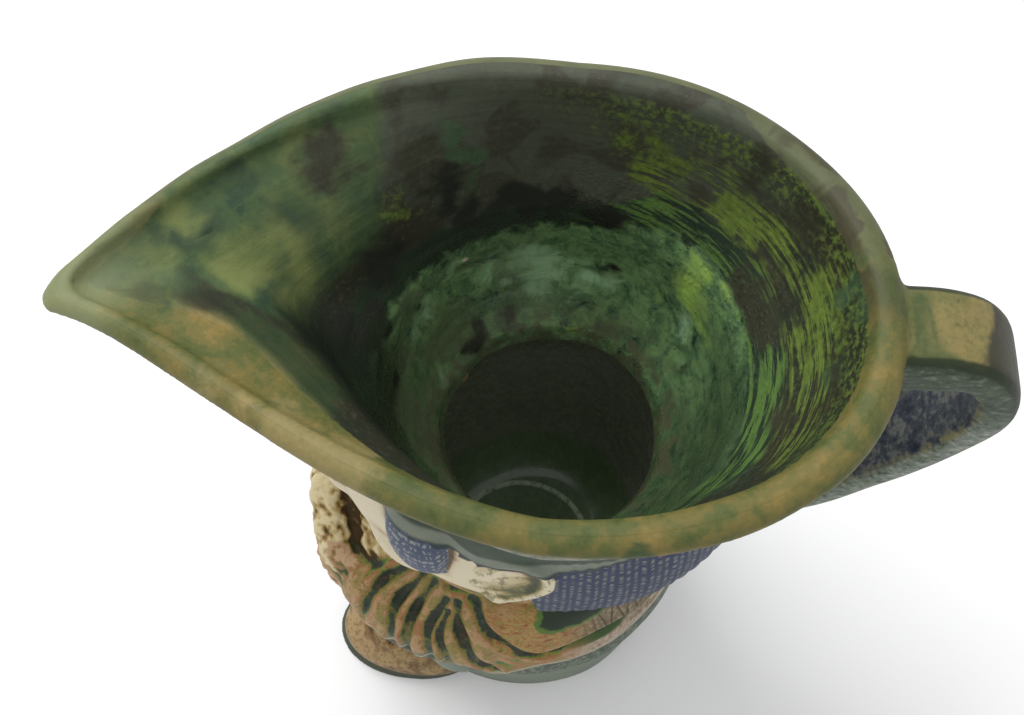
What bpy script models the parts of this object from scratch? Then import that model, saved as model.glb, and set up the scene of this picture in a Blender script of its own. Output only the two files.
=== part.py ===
"""Character jug: a one-piece stoneware figure jug. Its hat is the pouring mouth, with a strap handle behind."""
import math

import bmesh
import bpy
import numpy as np
from mathutils import Euler, Matrix, Vector

# Overall sizes, metres. The face looks along -Y and the handle stands at +Y.
HEIGHT = 0.226
BODY_RADIUS = 0.060
SLAB_DEPTH = 0.024

# Hat rim, which is the pouring mouth
RIM_HALF_WIDTH = 0.0665
RIM_BACK = 0.081
SPOUT_REACH = 0.125
SPOUT_DROOP = 0.008
RIM_SWAY = 0.0037
RIM_THICKNESS = 0.009
SPOUT_DEPTH = 0.053

# Shape of the rim's outline: squareness behind, curve of the flanks and bluntness of the tip
RIM_SQUARENESS = 0.96
FLANK_CURVE = 0.97
TIP_BLUNTNESS = 0.015

# How the spout's channel draws back: shares of its depth and of its reach beyond the head cavity
SPOUT_PROFILE = ((0, 1), (0.075, 0.9), (0.15, 0.765), (0.226, 0.625), (0.3, 0.5), (0.377, 0.4), (0.49, 0.316),
                 (0.62, 0.243), (0.755, 0.17), (0.868, 0.096), (1, 0.015))

# Walls and bores
HEAD_WALL = 0.0075
BODY_WALL = 0.009
FLOOR_THICKNESS = 0.0095
NECK_BORE_RADIUS = 0.033
NECK_DEPTH = 0.093
CHAMBER_FORWARD = 0.006

# Strap handle
HANDLE_WIDTH = 0.023
HANDLE_THICKNESS = 0.0105
HANDLE_ROOT_THICKNESS = 0.016
HANDLE_CORNER = 0.0036
HANDLE_DROP = 0.003
HANDLE_SIDE = 0.0025
HANDLE_REACH = 0.1165
HANDLE_FOOT_HEIGHT = 0.107

# Fineness of the faceted solid
VOXEL = HEIGHT / 120
FIGURE_TRIANGLES = 5200
RIM_POINTS = 48

# The figure is laid out on a grid of 60 units to the body's radius and 226 units to the height.
GRID_RADIUS = 60
GRID_HEIGHT = 226
STEP = BODY_RADIUS / GRID_RADIUS
RISE = HEIGHT / GRID_HEIGHT

# The bare body is this share of the body radius. The mantle, body and head are rings about an upright line
# this many grid units in front of the jug's axis.
BODY_SHARE = 0.95
MANTLE_FORWARD = 8
BODY_FORWARD = 7
HEAD_FORWARD = 5


def mirrored(point):
    return (-point[0], point[1], point[2])


def clear_scene():
    for old in list(bpy.data.objects):
        bpy.data.objects.remove(old, do_unlink=True)


def new_collection(name):
    collection = bpy.data.collections.new(name)
    bpy.context.scene.collection.children.link(collection)
    return collection


def new_object(name, mesh, collection):
    made = bpy.data.objects.new(name, mesh)
    collection.objects.link(made)
    return made


def mesh_from(name, build):
    build.normal_update()
    mesh = bpy.data.meshes.new(name)
    build.to_mesh(mesh)
    build.free()
    return mesh


# Simple forms, each added to one bmesh

def ball(build, centre, radii, turn=(0, 0, 0)):
    turned = Euler([math.radians(angle) for angle in turn]).to_matrix().to_4x4()
    place = Matrix.Translation(centre) @ turned @ Matrix.Diagonal((*radii, 1))
    bmesh.ops.create_icosphere(build, subdivisions=3, radius=1, matrix=place)


def balls(build, centre, radii, turn=(0, 0, 0)):
    ball(build, centre, radii, turn)
    ball(build, mirrored(centre), radii, (turn[0], -turn[1], -turn[2]))


def eased(points, steps):
    """A smooth run through rows of numbers, by Catmull-Rom, with this many steps between rows."""
    rows = np.array(points, float)
    padded = np.vstack([2 * rows[0] - rows[1], rows, 2 * rows[-1] - rows[-2]])
    run = []
    for index in range(1, len(rows)):
        a, b, c, d = padded[index - 1:index + 3]
        for step in range(steps):
            t = step / steps
            run.append(0.5 * (2 * b + (c - a) * t + (2 * a - 5 * b + 4 * c - d) * t * t
                              + (3 * b - a - 3 * c + d) * t ** 3))
    run.append(rows[-1])
    return np.array(run)


# Rounded end of a rope: how far past its last point, and how thick, as shares of its radius
ROPE_END = ((0.92, 0.4), (0.5, 0.86))


def sweep(build, points, radii, flat=1, up=(0, 0, 1), steps=6, sides=14):
    """A round-ended rope through the points; flat squeezes its section along up."""
    run = eased([(*point, radius) for point, radius in zip(points, radii)], steps)
    path = [Vector(row[:3]) for row in run]
    widths = [max(row[3], 0.2) for row in run]
    rings = []
    last = len(path) - 1
    stations = []
    for index, (middle, width) in enumerate(zip(path, widths)):
        ahead = (path[min(index + 1, last)] - path[max(index - 1, 0)]).normalized()
        if index == 0:
            stations += [(middle - ahead * width * back, width * size, ahead) for back, size in ROPE_END]
        stations.append((middle, width, ahead))
        if index == last:
            for on, size in reversed(ROPE_END):
                stations.append((middle + ahead * width * on, width * size, ahead))
    for middle, width, ahead in stations:
        side = ahead.cross(Vector(up))
        if side.length < 0.05:
            side = ahead.cross(Vector((0.3, 1, 0.2)))
        side.normalize()
        over = side.cross(ahead).normalized()
        ring = []
        for number in range(sides):
            angle = 2 * math.pi * number / sides
            offset = side * math.cos(angle) + over * flat * math.sin(angle)
            ring.append(build.verts.new(middle + offset * width))
        rings.append(ring)
    for first, second in zip(rings, rings[1:]):
        for number in range(sides):
            after = (number + 1) % sides
            build.faces.new((first[number], first[after], second[after], second[number]))
    build.faces.new(list(reversed(rings[0])))
    build.faces.new(rings[-1])


def sweeps(build, points, radii, flat=1, up=(0, 0, 1), steps=6, sides=14):
    sweep(build, points, radii, flat, up, steps, sides)
    sweep(build, [mirrored(point) for point in points], radii, flat, (-up[0], up[1], up[2]), steps, sides)


def ring_outline(half_width, back, front, drop, points):
    """One level outline: a squarish ellipse behind, drawn out to a spout in front as drop goes to 1."""
    outline = []
    for index in range(points):
        angle = 2 * math.pi * index / points
        across = math.cos(angle)
        along = math.sin(angle)
        if along >= 0:
            x = half_width * math.copysign(abs(across) ** RIM_SQUARENESS, across)
            y = back * along ** RIM_SQUARENESS
        else:
            blunt = min(math.sqrt((1 + along) / TIP_BLUNTNESS), 1)
            drawn = math.cos(math.pi * abs(along) / 2 * FLANK_CURVE) * blunt
            x = half_width * math.copysign((1 - drop) * abs(across) + drop * drawn, across)
            y = front * along
        outline.append((x, y))
    return outline


def rim_shift(y):
    """Sideways sway of the hand-drawn rim and droop of its spout, at this place along the jug."""
    forward = min(max(-y / SPOUT_REACH, 0), 1)
    behind = min(max(y / RIM_BACK, 0), 1)
    sway = RIM_SWAY * (2.8 * forward ** 6 - math.sin(math.pi * forward) - 0.27 + 0.8 * behind ** 2)
    return sway, -SPOUT_DROOP * forward ** 2


def loft(build, levels, points, forward=0):
    """Level outlines skinned from the top down, closed at both ends: z, half width, back, front, drop."""
    rings = []
    for z, half_width, back, front, drop in levels:
        ring = []
        for x, y in ring_outline(half_width, back, front, drop, points):
            sway, droop = rim_shift(y) if drop > 0 else (0, 0)
            ring.append(build.verts.new((x + sway * drop, y - forward, z + droop * drop)))
        rings.append(ring)
    for upper, lower in zip(rings, rings[1:]):
        for index in range(points):
            after = (index + 1) % points
            build.faces.new((upper[index], lower[index], lower[after], upper[after]))
    build.faces.new(rings[0])
    build.faces.new(reversed(rings[-1]))


def drum(build, levels, forward=0):
    """A loft of plain rings about an upright line, in grid units; a level is z, half width, back, front."""
    loft(build, [(*level, 0) for level in eased(levels, 2)], 48, forward)


def around(radius, z, start, end, count, forward=MANTLE_FORWARD):
    """Points along an arc about the body's own line, angles in degrees from +X towards +Y."""
    angles = [math.radians(start + (end - start) * index / (count - 1)) for index in range(count)]
    return [(radius * math.cos(angle), radius * math.sin(angle) - forward, z) for angle in angles]


# Sub-forms of the figure, in grid units

def add_base(build):
    levels = []
    for z, radius in ((100, 59), (80, 58), (60, 57.5), (35, 56.5), (14, 55.5), (4, 54.8), (-4, 54.5)):
        levels.append((z, radius, radius, radius))
    drum(build, levels, BODY_FORWARD)


def add_mantle(build):
    levels = []
    for z, radius in ((132, 42), (127, 48), (122, 54), (116, 58.5), (108, 61.5), (98, 64), (90, 65.5),
                      (84, 66), (80.5, 65), (79, 61), (79, 55)):
        levels.append((z, radius, radius * 0.9, radius))
    drum(build, levels, MANTLE_FORWARD)
    balls(build, (43, -1, 108), (17, 22, 17), (0, -20, 0))


def add_collar(build):
    sweep(build, around(49.5, 131, -68, 248, 22, 6), [3] + [4.4] * 20 + [3])
    sweeps(build, [(20, -52, 130), (12, -62, 121), (10, -66, 108), (14, -67, 92), (18, -66, 74)],
           (4, 4.6, 4.4, 4, 3))
    ball(build, (0, -54, 122), (13, 9, 12))
    ball(build, (HANDLE_SIDE / STEP, 53, HANDLE_FOOT_HEIGHT / RISE - 2), (16, 8, 13))


def add_head(build):
    levels = [(196, 53, 58, 52), (187, 55.5, 61, 55), (178, 57, 63, 57.5), (170, 58, 63.5, 59),
              (162, 58.2, 63.5, 60), (154, 58, 62.5, 60), (147, 56, 60, 58.5), (140, 51, 54, 55),
              (134, 43, 46, 48), (127, 34, 40, 34)]
    drum(build, levels, HEAD_FORWARD)
    ball(build, (0, -50, 138), (26, 16, 11))
    ball(build, (0, -59, 136.5), (9.5, 8, 7))
    balls(build, (35, -30, 156), (18.5, 18.5, 14))


def add_face(build):
    ball(build, (0, -56.5, 186), (36, 8, 6.5))
    balls(build, (15, -58.6, 171.2), (7.8, 6.4, 5.6))
    sweeps(build, [(24, -55.5, 170.8), (15.5, -64.6, 174.6), (7.6, -61.5, 171)], (1.2, 1.7, 1.2))
    sweeps(build, [(24, -55.5, 170.6), (15, -64, 167.4), (7.6, -61.5, 170.4)], (1.1, 1.4, 1.1))
    sweep(build, [(0, -58, 184), (0, -62, 177), (0, -67.5, 168), (0, -72.5, 160.5), (0, -66, 156)],
          (4.6, 4, 4.6, 5.6, 4))
    balls(build, (5.8, -66.5, 158.6), (4, 4.6, 3.8))
    ball(build, (0, -56.5, 148.5), (21, 10.5, 9))
    balls(build, (22, -52, 158), (12, 11, 9))
    upper_lip = [(-12.5, -61.5, 148.6), (-6.5, -66.2, 150.2), (-2.2, -67.6, 151.2), (0, -67.2, 150.6),
                 (2.2, -67.6, 151.2), (6.5, -66.2, 150.2), (12.5, -61.5, 148.6)]
    sweep(build, upper_lip, (0.9, 1.7, 2.1, 1.9, 2.1, 1.7, 0.9))
    lower_lip = [(-10.5, -62.5, 147.8), (-5, -66.4, 146.4), (0, -67.2, 145.9), (5, -66.4, 146.4),
                 (10.5, -62.5, 147.8)]
    sweep(build, lower_lip, (0.9, 2.1, 2.5, 2.1, 0.9))


def add_brow(build):
    brow = [(6.5, -62, 180.6), (13.5, -62.5, 182.4), (21, -59, 181.6), (28, -54, 177.6)]
    sweeps(build, brow, (1.7, 2.3, 2.1, 1.2))


def ear_place(u, v, w):
    """A point of the ear: u backwards, v up, w outwards, millimetres, on the left ear's own tilted plane."""
    return (51.4 + 0.95 * w - 0.16 * v, -7 + u + 0.1 * v - 0.06 * w, 164.5 + 0.97 * v + 0.26 * w)


def add_ear(build):
    balls(build, ear_place(0, 0, -1), (5.2, 9.5, 13.5), (0, -14, 0))
    helix = [(-6.5, -1, 3), (-8, 6, 4.4), (-5, 12.4, 5.6), (2, 14.6, 6.6), (8.4, 10.4, 7), (9.8, 2, 6.6),
             (6.6, -6, 5.4), (1.6, -11.4, 4.4)]
    sweeps(build, [ear_place(*p) for p in helix], (1.6, 2, 2.3, 2.5, 2.5, 2.3, 2.2, 2.2), steps=5)
    inner = [(-1.6, 9, 4.2), (3.4, 6, 5.2), (4.4, 0, 5.4), (1.8, -6, 4.8), (-3, -7.6, 4.6)]
    sweeps(build, [ear_place(*p) for p in inner], (1.2, 1.7, 1.9, 1.7, 1.8), steps=5)
    balls(build, ear_place(-7, -3, 3.6), (2.6, 2.8, 3.6))
    balls(build, ear_place(-1.4, -12.4, 3.2), (3.2, 4.2, 4.4))


def add_sideburn(build):
    course = [(47, -31, 190), (51.5, -31.5, 180), (53.4, -30.5, 172), (54, -28, 166)]
    sweeps(build, course, (9, 8.8, 7.5, 3.8), flat=0.5, up=(0.9, -0.45, 0))


def add_hair(build):
    drum(build, [(196, 40, 55, 0), (188, 49, 58, 0), (176, 54.5, 61, 0), (162, 56.5, 62.5, 0),
                 (150, 57, 62, 0), (142, 56.5, 60.5, 0), (136.5, 54, 57.5, 0), (136, 48, 50, 0)])
    locks = 23
    for index in range(locks):
        angle = math.radians(6 + 168 * index / (locks - 1))
        course = ((47.5, 188), (52, 174), (54.3, 158), (54.3, 144), (51, 137.5))
        points = [(reach * math.cos(angle), (reach + 4) * math.sin(angle), z) for reach, z in course]
        sweep(build, points, (4.5, 4.6, 4.7, 4.2, 2.8), sides=12)


def upper_arm_path():
    return [(41, 10, 112), (46, -6, 101), (48, -24, 95), (45, -40, 97), (41, -49.5, 101)]


def add_sleeve(build):
    sweeps(build, upper_arm_path(), (15, 17.5, 18, 16.5, 14.5), steps=8, sides=28)


def add_fold(build):
    """Ridges of cloth that run from the inner elbow round the forearm."""
    ridges = (
        [(44.5, -38, 119.2), (48, -44.4, 111.7), (54.6, -48, 105.7), (55.4, -49, 98)],
        [(46.8, -34.5, 119.6), (52.3, -39.5, 110.2), (58.6, -41.6, 103.2), (60.2, -42, 95)],
        [(50.3, -30.2, 118.2), (55.4, -34, 108.8), (61.2, -35.5, 101.2), (62.6, -36, 92)],
        [(54, -27.2, 115.2), (58.2, -30, 107.2), (62.8, -29.4, 100), (64, -28, 91)],
        [(54.2, -25.2, 116), (58, -25.8, 109.2), (62.2, -24, 103.2), (64.4, -20, 95.4), (64.4, -14, 87)],
        [(53, -20, 119.2), (57.4, -18.6, 112.2), (61, -14, 106.7), (62.8, -8.5, 98.4), (62.8, -2, 91)],
    )
    for ridge in ridges:
        sweeps(build, ridge, [1.4] + [2.5] * (len(ridge) - 2) + [1.6], steps=5, sides=12)


def add_cuff(build):
    rim = []
    for index in range(25):
        angle = 2 * math.pi * index / 24
        wave = 1.1 * math.sin(angle * 7)
        reach = 14.6 + 0.8 * math.sin(angle * 7 + 1.2)
        across = Vector((0.88, 0.47, 0)) * reach * math.cos(angle)
        over = Vector((0.12, 0.22, 0.97)) * reach * math.sin(angle)
        rim.append(Vector((41, -51.5, 99)) + across + over + Vector((-0.1, -1, 0.1)) * wave)
    sweeps(build, [tuple(point) for point in rim], [1.7] * len(rim), steps=3, sides=10)


def add_hand(build):
    balls(build, (37, -57, 100), (10, 8.5, 8.5), (0, 20, -30))
    for index in range(4):
        z = 103 - 5.8 * index
        reach = 1 - 0.12 * abs(index - 1)
        points = [(43, -59, z), (37.5, -66.5, z - 0.6), (30, -70.5, z - 1.8), (30 - 8 * reach, -71.5, z - 3)]
        sweeps(build, points, (3.3, 3.5, 3.1, 2.7), steps=5)
    sweeps(build, [(44, -52, 106), (39, -60, 110), (32, -65.5, 112), (26, -67.5, 111.5)], (4, 4.1, 3.5, 3))


def add_bundle(build):
    ball(build, (0, -54, 97), (39, 16, 22))
    lip = [(-43, -53, 98), (-35, -60, 109), (-22, -65, 115), (-9, -67.5, 112.5), (4, -66.5, 115.5),
           (17, -67.5, 116.5), (27, -66, 113.5), (36, -62.5, 108.5), (43, -55.5, 99)]
    sweep(build, lip, (5.5, 6.2, 6.6, 6, 6.4, 6.8, 6.6, 6.6, 5.5), steps=6, sides=16)
    sweeps(build, [(42, -55, 99), (38, -59, 88), (28, -63.5, 80.5), (12, -66.5, 79), (0, -67, 79.5)],
           (5.6, 6.2, 6.2, 6, 5.6), sides=16)
    balls(build, (13, -62, 97), (16, 9, 12.5))
    for x, y, z, size in ((22, -70, 104, 4.4), (10, -71, 90, 4), (-16, -70.5, 101, 4.6), (-3, -72, 86, 3.6),
                          (29, -67, 91, 3.8), (-27, -68, 92, 4.2), (3, -72, 103, 3.8)):
        ball(build, (x, y + 3, z), (size * 1.3, size, size))


def add_leg(build):
    balls(build, (24, -47, 62), (20, 17, 17))
    shin = [(24, -52, 60), (26, -52.5, 44), (28.5, -51, 28), (30.5, -46, 12)]
    sweeps(build, shin, (14.5, 12, 11, 10.5), sides=20)
    balls(build, (27.5, -47, 31), (11.5, 15.5, 13))
    sweeps(build, [(40, -50, 46), (34, -63.5, 44.5), (24, -66, 44), (13, -60, 45), (10, -52, 46)],
           (2.4, 3, 3.2, 3, 2.4))
    balls(build, (40, -58, 45), (3.2, 3, 3.4))


def add_coat_tail(build):
    sweeps(build, [(46, -34, 92), (49, -31, 70), (51, -28, 44), (50, -25, 22)], (9, 9.5, 8.5, 6), sides=18)


def add_shoe(build):
    balls(build, (36.5, -45, 6), (19.5, 30.5, 14))
    balls(build, (33, -36, 15), (14, 16, 11))
    sweeps(build, [(20, -56, 12), (28, -60, 17.5), (37, -60, 19), (46, -57, 15), (52, -50, 9)],
           (2.2, 2.8, 3, 2.8, 2.2))
    balls(build, (36, -61.5, 18.5), (5, 3, 3.6), (40, 0, 0))


def add_sole(build):
    balls(build, (36, -47, 0.5), (21, 31, 5.2))


def figure_mesh():
    build = bmesh.new()
    for add in (add_base, add_mantle, add_collar, add_head, add_face, add_brow, add_ear, add_sideburn,
                add_hair, add_sleeve, add_fold, add_cuff, add_hand, add_bundle, add_leg, add_coat_tail,
                add_shoe, add_sole):
        add(build)
    bmesh.ops.transform(build, matrix=Matrix.Diagonal((STEP, STEP, RISE, 1)), verts=build.verts)
    return mesh_from("figure", build)


# Vessel forms, metres

def cavity_radius():
    """Inside radius of the head, which the channel of the spout runs into."""
    return BODY_RADIUS - 0.0045 - HEAD_WALL


def spout_front(depth):
    """How far in front of the axis the inside of the spout reaches at this depth below the rim."""
    shares, reaches = zip(*SPOUT_PROFILE)
    inside = SPOUT_REACH - RIM_THICKNESS
    share = float(np.interp(depth / SPOUT_DEPTH, shares, reaches))
    return cavity_radius() + (inside - cavity_radius()) * share


def rim_levels(insets):
    """Levels round the thick lip; each inset and depth is a share of the lip's half thickness."""
    roll = RIM_THICKNESS / 2
    return [(HEIGHT - depth * roll, RIM_HALF_WIDTH - inset * roll, RIM_BACK - inset * roll,
             SPOUT_REACH - inset * roll, 1) for depth, inset in insets]


def hat_mesh():
    flare = RIM_HALF_WIDTH - BODY_RADIUS
    levels = rim_levels(((0, 0.95), (0.12, 0.5), (0.45, 0.1), (1, 0)))
    for depth, bulge, drop in ((8, -1, 1), (12, -2.6, 1), (17, -2.8, 1), (20, -0.6, 1), (22.5, 0.8, 1),
                               (25, 0, 1), (29, -1.6, 0.95), (34, -1.8, 0.8), (39, -1.6, 0.6),
                               (45, -1.6, 0.3)):
        below = depth * RISE
        narrow = min(depth / 30, 1)
        width = RIM_HALF_WIDTH - flare * narrow * 1.1 - max(depth - 30, 0) * 0.12 * STEP + bulge * STEP
        back = RIM_BACK - 0.34 * below - max(depth - 40, 0) * 0.1 * STEP + bulge * STEP
        front = spout_front(below - 1.25 * HEAD_WALL) + HEAD_WALL * min(depth / 20, 1) * 0.4 + bulge * STEP
        levels.append((HEIGHT - below, width, back, front, drop))
    build = bmesh.new()
    loft(build, levels, RIM_POINTS)
    return mesh_from("hat", build)


def bore_mesh():
    """The whole hollow: flared mouth and spout channel, head cavity, narrow neck, body chamber, floor."""
    levels = rim_levels(((-1, 0.9), (0, 1.1), (0.2, 1.6), (1, 2)))
    mouth_width = RIM_HALF_WIDTH - RIM_THICKNESS
    mouth_back = RIM_BACK - RIM_THICKNESS
    head = cavity_radius()
    for depth, drop, share in ((10, 1, 0.06), (18, 1, 0.18), (25, 0.95, 0.33), (31, 0.85, 0.5),
                               (37, 0.65, 0.7), (44, 0.3, 0.9), (53, 0, 1)):
        below = depth * RISE
        levels.append((HEIGHT - below, mouth_width + (head - mouth_width) * share,
                       mouth_back + (head - mouth_back) * share, spout_front(below), drop))
    neck = HEIGHT - NECK_DEPTH
    for rise, share in ((30, 0.93), (20, 0.72), (11, 0.42), (4, 0.1), (0, 0), (-3, 0)):
        radius = NECK_BORE_RADIUS + (head - NECK_BORE_RADIUS) * share
        levels.append((neck + rise * RISE, radius, radius, radius, 0))
    floor = FLOOR_THICKNESS
    tall = neck - floor
    wide = BODY_SHARE * BODY_RADIUS - BODY_WALL
    for height, share in ((0.9, 0.45), (0.78, 0.8), (0.6, 0.97), (0.4, 1), (0.2, 0.93), (0.1, 0.72),
                          (0.04, 0.4), (0.012, 0.05), (0, -0.25)):
        radius = NECK_BORE_RADIUS + (wide - NECK_BORE_RADIUS) * share
        shift = CHAMBER_FORWARD * min(2 * (1 - height), 1)
        levels.append((floor + height * tall, radius, radius - shift, radius + shift, 0))
    build = bmesh.new()
    loft(build, levels, RIM_POINTS)
    return mesh_from("bore", build)


def handle_path():
    """Middle line of the strap, as y and z."""
    top = HEIGHT - HANDLE_DROP - HANDLE_THICKNESS / 2
    out = HANDLE_REACH - HANDLE_THICKNESS / 2
    foot = HANDLE_FOOT_HEIGHT
    fall = top - foot
    run = out - RIM_BACK
    path = [(RIM_BACK - 0.012, top - 0.002), (RIM_BACK + 0.13223 * run, top), (out - 0.57851 * run, top - 0.0006)]
    for inward, share in ((0.32397, 0.04), (0.10579, 0.126), (0.01322, 0.244), (0.13223, 0.388), (0.34711, 0.533),
                          (0.59504, 0.659), (0.92562, 0.82)):
        path.append((out - inward * run, top - share * fall))
    return path + [(BODY_RADIUS + 0.006, foot + 0.004), (BODY_RADIUS - 0.015, foot - 0.004)]


def root_swell(y, z):
    """How much thicker the strap is below, where it leaves the rim."""
    near = min(max((HANDLE_REACH - 0.010 - y) / (HANDLE_THICKNESS * 1.6), 0), 1)
    upper = min(max((z - HEIGHT + 0.030) / 0.012, 0), 1)
    return (HANDLE_ROOT_THICKNESS - HANDLE_THICKNESS) * near * near * (3 - 2 * near) * upper


def handle_mesh():
    """The strap: a rounded-rectangle section carried along a path in the jug's middle plane."""
    path = eased(handle_path(), 3)
    half_wide = HANDLE_WIDTH / 2
    half_thick = HANDLE_THICKNESS / 2
    section = []
    for side_x, side_y, start in ((1, 1, 0), (-1, 1, 90), (-1, -1, 180), (1, -1, 270)):
        for step in range(4):
            angle = math.radians(start + 30 * step)
            section.append((side_x * (half_wide - HANDLE_CORNER) + HANDLE_CORNER * math.cos(angle),
                            side_y * (half_thick - HANDLE_CORNER) + HANDLE_CORNER * math.sin(angle)))
    build = bmesh.new()
    rings = []
    for index, (y, z) in enumerate(path):
        ahead = path[min(index + 1, len(path) - 1)] - path[max(index - 1, 0)]
        ahead = ahead / np.hypot(*ahead)
        swell = root_swell(y, z)
        ring = []
        for across, out in section:
            reach = out - swell if out < 0 else out
            ring.append(build.verts.new((HANDLE_SIDE + across, y - ahead[1] * reach, z + ahead[0] * reach)))
        rings.append(ring)
    count = len(section)
    for first, second in zip(rings, rings[1:]):
        for number in range(count):
            after = (number + 1) % count
            build.faces.new((first[number], second[number], second[after], first[after]))
    build.faces.new(rings[0])
    build.faces.new(list(reversed(rings[-1])))
    bmesh.ops.recalc_face_normals(build, faces=build.faces)
    return mesh_from("handle", build)


def slab_mesh():
    """What lies below the table: cut off, so that the foot is flat."""
    build = bmesh.new()
    size = 4 * BODY_RADIUS
    place = Matrix.Translation((0, 0, -SLAB_DEPTH / 2)) @ Matrix.Diagonal((size, size, SLAB_DEPTH, 1))
    bmesh.ops.create_cube(build, size=1, matrix=place)
    return mesh_from("slab", build)


def add_cut(target, tool, operation):
    modifier = target.modifiers.new(tool.name, "BOOLEAN")
    modifier.operation = operation
    modifier.solver = "EXACT"
    modifier.object = tool


def add_material(target, colour, roughness):
    material = bpy.data.materials.new(target.name)
    material.use_nodes = True
    shader = material.node_tree.nodes["Principled BSDF"]
    shader.inputs["Base Color"].default_value = (*colour, 1)
    shader.inputs["Roughness"].default_value = roughness
    shader.inputs["Metallic"].default_value = 0
    target.data.materials.clear()
    target.data.materials.append(material)


def main():
    clear_scene()
    parts = new_collection("character_jug")
    cutters = new_collection("cutters")

    jug = new_object("jug", figure_mesh(), parts)
    remesh = jug.modifiers.new("one_body", "REMESH")
    remesh.mode = "VOXEL"
    remesh.voxel_size = VOXEL
    remesh.use_smooth_shade = True
    smooth = jug.modifiers.new("soften", "SMOOTH")
    smooth.factor = 0.5
    smooth.iterations = 2
    seen = jug.evaluated_get(bpy.context.evaluated_depsgraph_get())
    seen.data.calc_loop_triangles()
    decimate = jug.modifiers.new("facets", "DECIMATE")
    decimate.ratio = min(1, FIGURE_TRIANGLES / len(seen.data.loop_triangles))

    tools = [("hat", hat_mesh(), "UNION"), ("handle", handle_mesh(), "UNION"),
             ("bore", bore_mesh(), "DIFFERENCE"), ("slab", slab_mesh(), "DIFFERENCE")]
    for name, mesh, operation in tools:
        for face in mesh.polygons:
            face.use_smooth = name != "slab"
        tool = new_object(name, mesh, cutters)
        tool.hide_render = True
        tool.display_type = "WIRE"
        add_cut(jug, tool, operation)
    add_material(jug, (0.16, 0.17, 0.07), 0.35)
    for face in jug.data.polygons:
        face.use_smooth = True


main()
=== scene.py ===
"""Looks of the character jug: one closed, finely carved stoneware piece stands for the plain solid."""
import math

import bmesh
import bpy
import numpy as np
from mathutils import Euler, Matrix, Vector, noise
from mathutils.bvhtree import BVHTree


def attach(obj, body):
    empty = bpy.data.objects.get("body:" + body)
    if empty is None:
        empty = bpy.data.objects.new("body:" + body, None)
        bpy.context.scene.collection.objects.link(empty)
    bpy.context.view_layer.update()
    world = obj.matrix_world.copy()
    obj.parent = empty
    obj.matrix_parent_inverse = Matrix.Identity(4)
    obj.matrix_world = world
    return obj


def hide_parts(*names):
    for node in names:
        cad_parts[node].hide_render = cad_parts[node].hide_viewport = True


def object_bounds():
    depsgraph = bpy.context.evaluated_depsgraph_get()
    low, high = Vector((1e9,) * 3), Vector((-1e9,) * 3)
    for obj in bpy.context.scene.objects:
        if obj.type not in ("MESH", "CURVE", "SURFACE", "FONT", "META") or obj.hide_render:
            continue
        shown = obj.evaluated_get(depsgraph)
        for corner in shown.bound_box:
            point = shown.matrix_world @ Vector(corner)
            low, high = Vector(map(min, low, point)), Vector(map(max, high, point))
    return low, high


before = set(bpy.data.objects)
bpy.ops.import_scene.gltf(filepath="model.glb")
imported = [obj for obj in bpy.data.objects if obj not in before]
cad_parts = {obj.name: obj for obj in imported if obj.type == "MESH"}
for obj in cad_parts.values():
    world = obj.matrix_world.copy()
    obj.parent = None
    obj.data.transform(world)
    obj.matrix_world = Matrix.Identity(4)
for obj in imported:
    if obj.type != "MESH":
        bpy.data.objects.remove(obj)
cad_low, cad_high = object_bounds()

# The forms are laid out in millimetres for a jug 226 mm tall. UNIT brings them to the frame's size, in metres.
GRID_HEIGHT = 226
UNIT = cad_high.z / GRID_HEIGHT

# Hat rim and spout, millimetres
RIM_HALF_WIDTH = 66.5
RIM_BACK = 81
SPOUT_REACH = 125
SPOUT_DROOP = 8
RIM_SWAY = 3.7
RIM_THICKNESS = 9

# Shape of the rim's outline: squareness behind, curve of the flanks and bluntness of the tip
RIM_SQUARENESS = 0.96
FLANK_CURVE = 0.97
TIP_BLUNTNESS = 0.015

# How far forward the spout's channel still reaches at each depth below the rim
SPOUT_PROFILE = ((0, 116), (4, 109), (8, 100), (12, 90.5), (16, 82), (20, 75.5), (26, 69.5), (33, 64.5),
                 (40, 59.5), (46, 54.5), (53, 49))

# Walls and bores, millimetres
BODY_RADIUS = 60
HEAD_WALL = 7.5
HEAD_INSET = 4.5
BODY_WALL = 9
FLOOR_THICKNESS = 9.5
NECK_BORE_RADIUS = 33
NECK_DEPTH = 93
CHAMBER_FORWARD = 6
BODY_SHARE = 0.95

# Strap handle, millimetres
HANDLE_WIDTH = 23
HANDLE_THICKNESS = 10.5
HANDLE_ROOT_THICKNESS = 16
HANDLE_DROP = 3
HANDLE_SIDE = 2.5
HANDLE_REACH = 116.5
HANDLE_FOOT_HEIGHT = 107
HANDLE_CORNER = 3.6

# Mantle, body and head are rings about an axis a little in front of the jug's own
MANTLE_FORWARD = 8
BODY_FORWARD = 7
HEAD_FORWARD = 5

# Locks of hair round the back of the head
LOCKS = 23

# Fineness of the mesh
OUTER_VOXEL = 1.0
FINE_VOXEL = 0.88
MOST_TRIANGLES = 192000
RING_POINTS = 160


def mirrored(point):
    return (-point[0], point[1], point[2])


def mesh_from(name, build):
    build.normal_update()
    mesh = bpy.data.meshes.new(name)
    build.to_mesh(mesh)
    build.free()
    return mesh


def new_object(name, mesh):
    made = bpy.data.objects.new(name, mesh)
    bpy.context.scene.collection.objects.link(made)
    return made


# Simple forms, each added to one bmesh

def ball(build, centre, radii, turn=(0, 0, 0)):
    turned = Euler([math.radians(angle) for angle in turn]).to_matrix().to_4x4()
    place = Matrix.Translation(centre) @ turned @ Matrix.Diagonal((*radii, 1))
    bmesh.ops.create_icosphere(build, subdivisions=4, radius=1, matrix=place)


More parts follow.
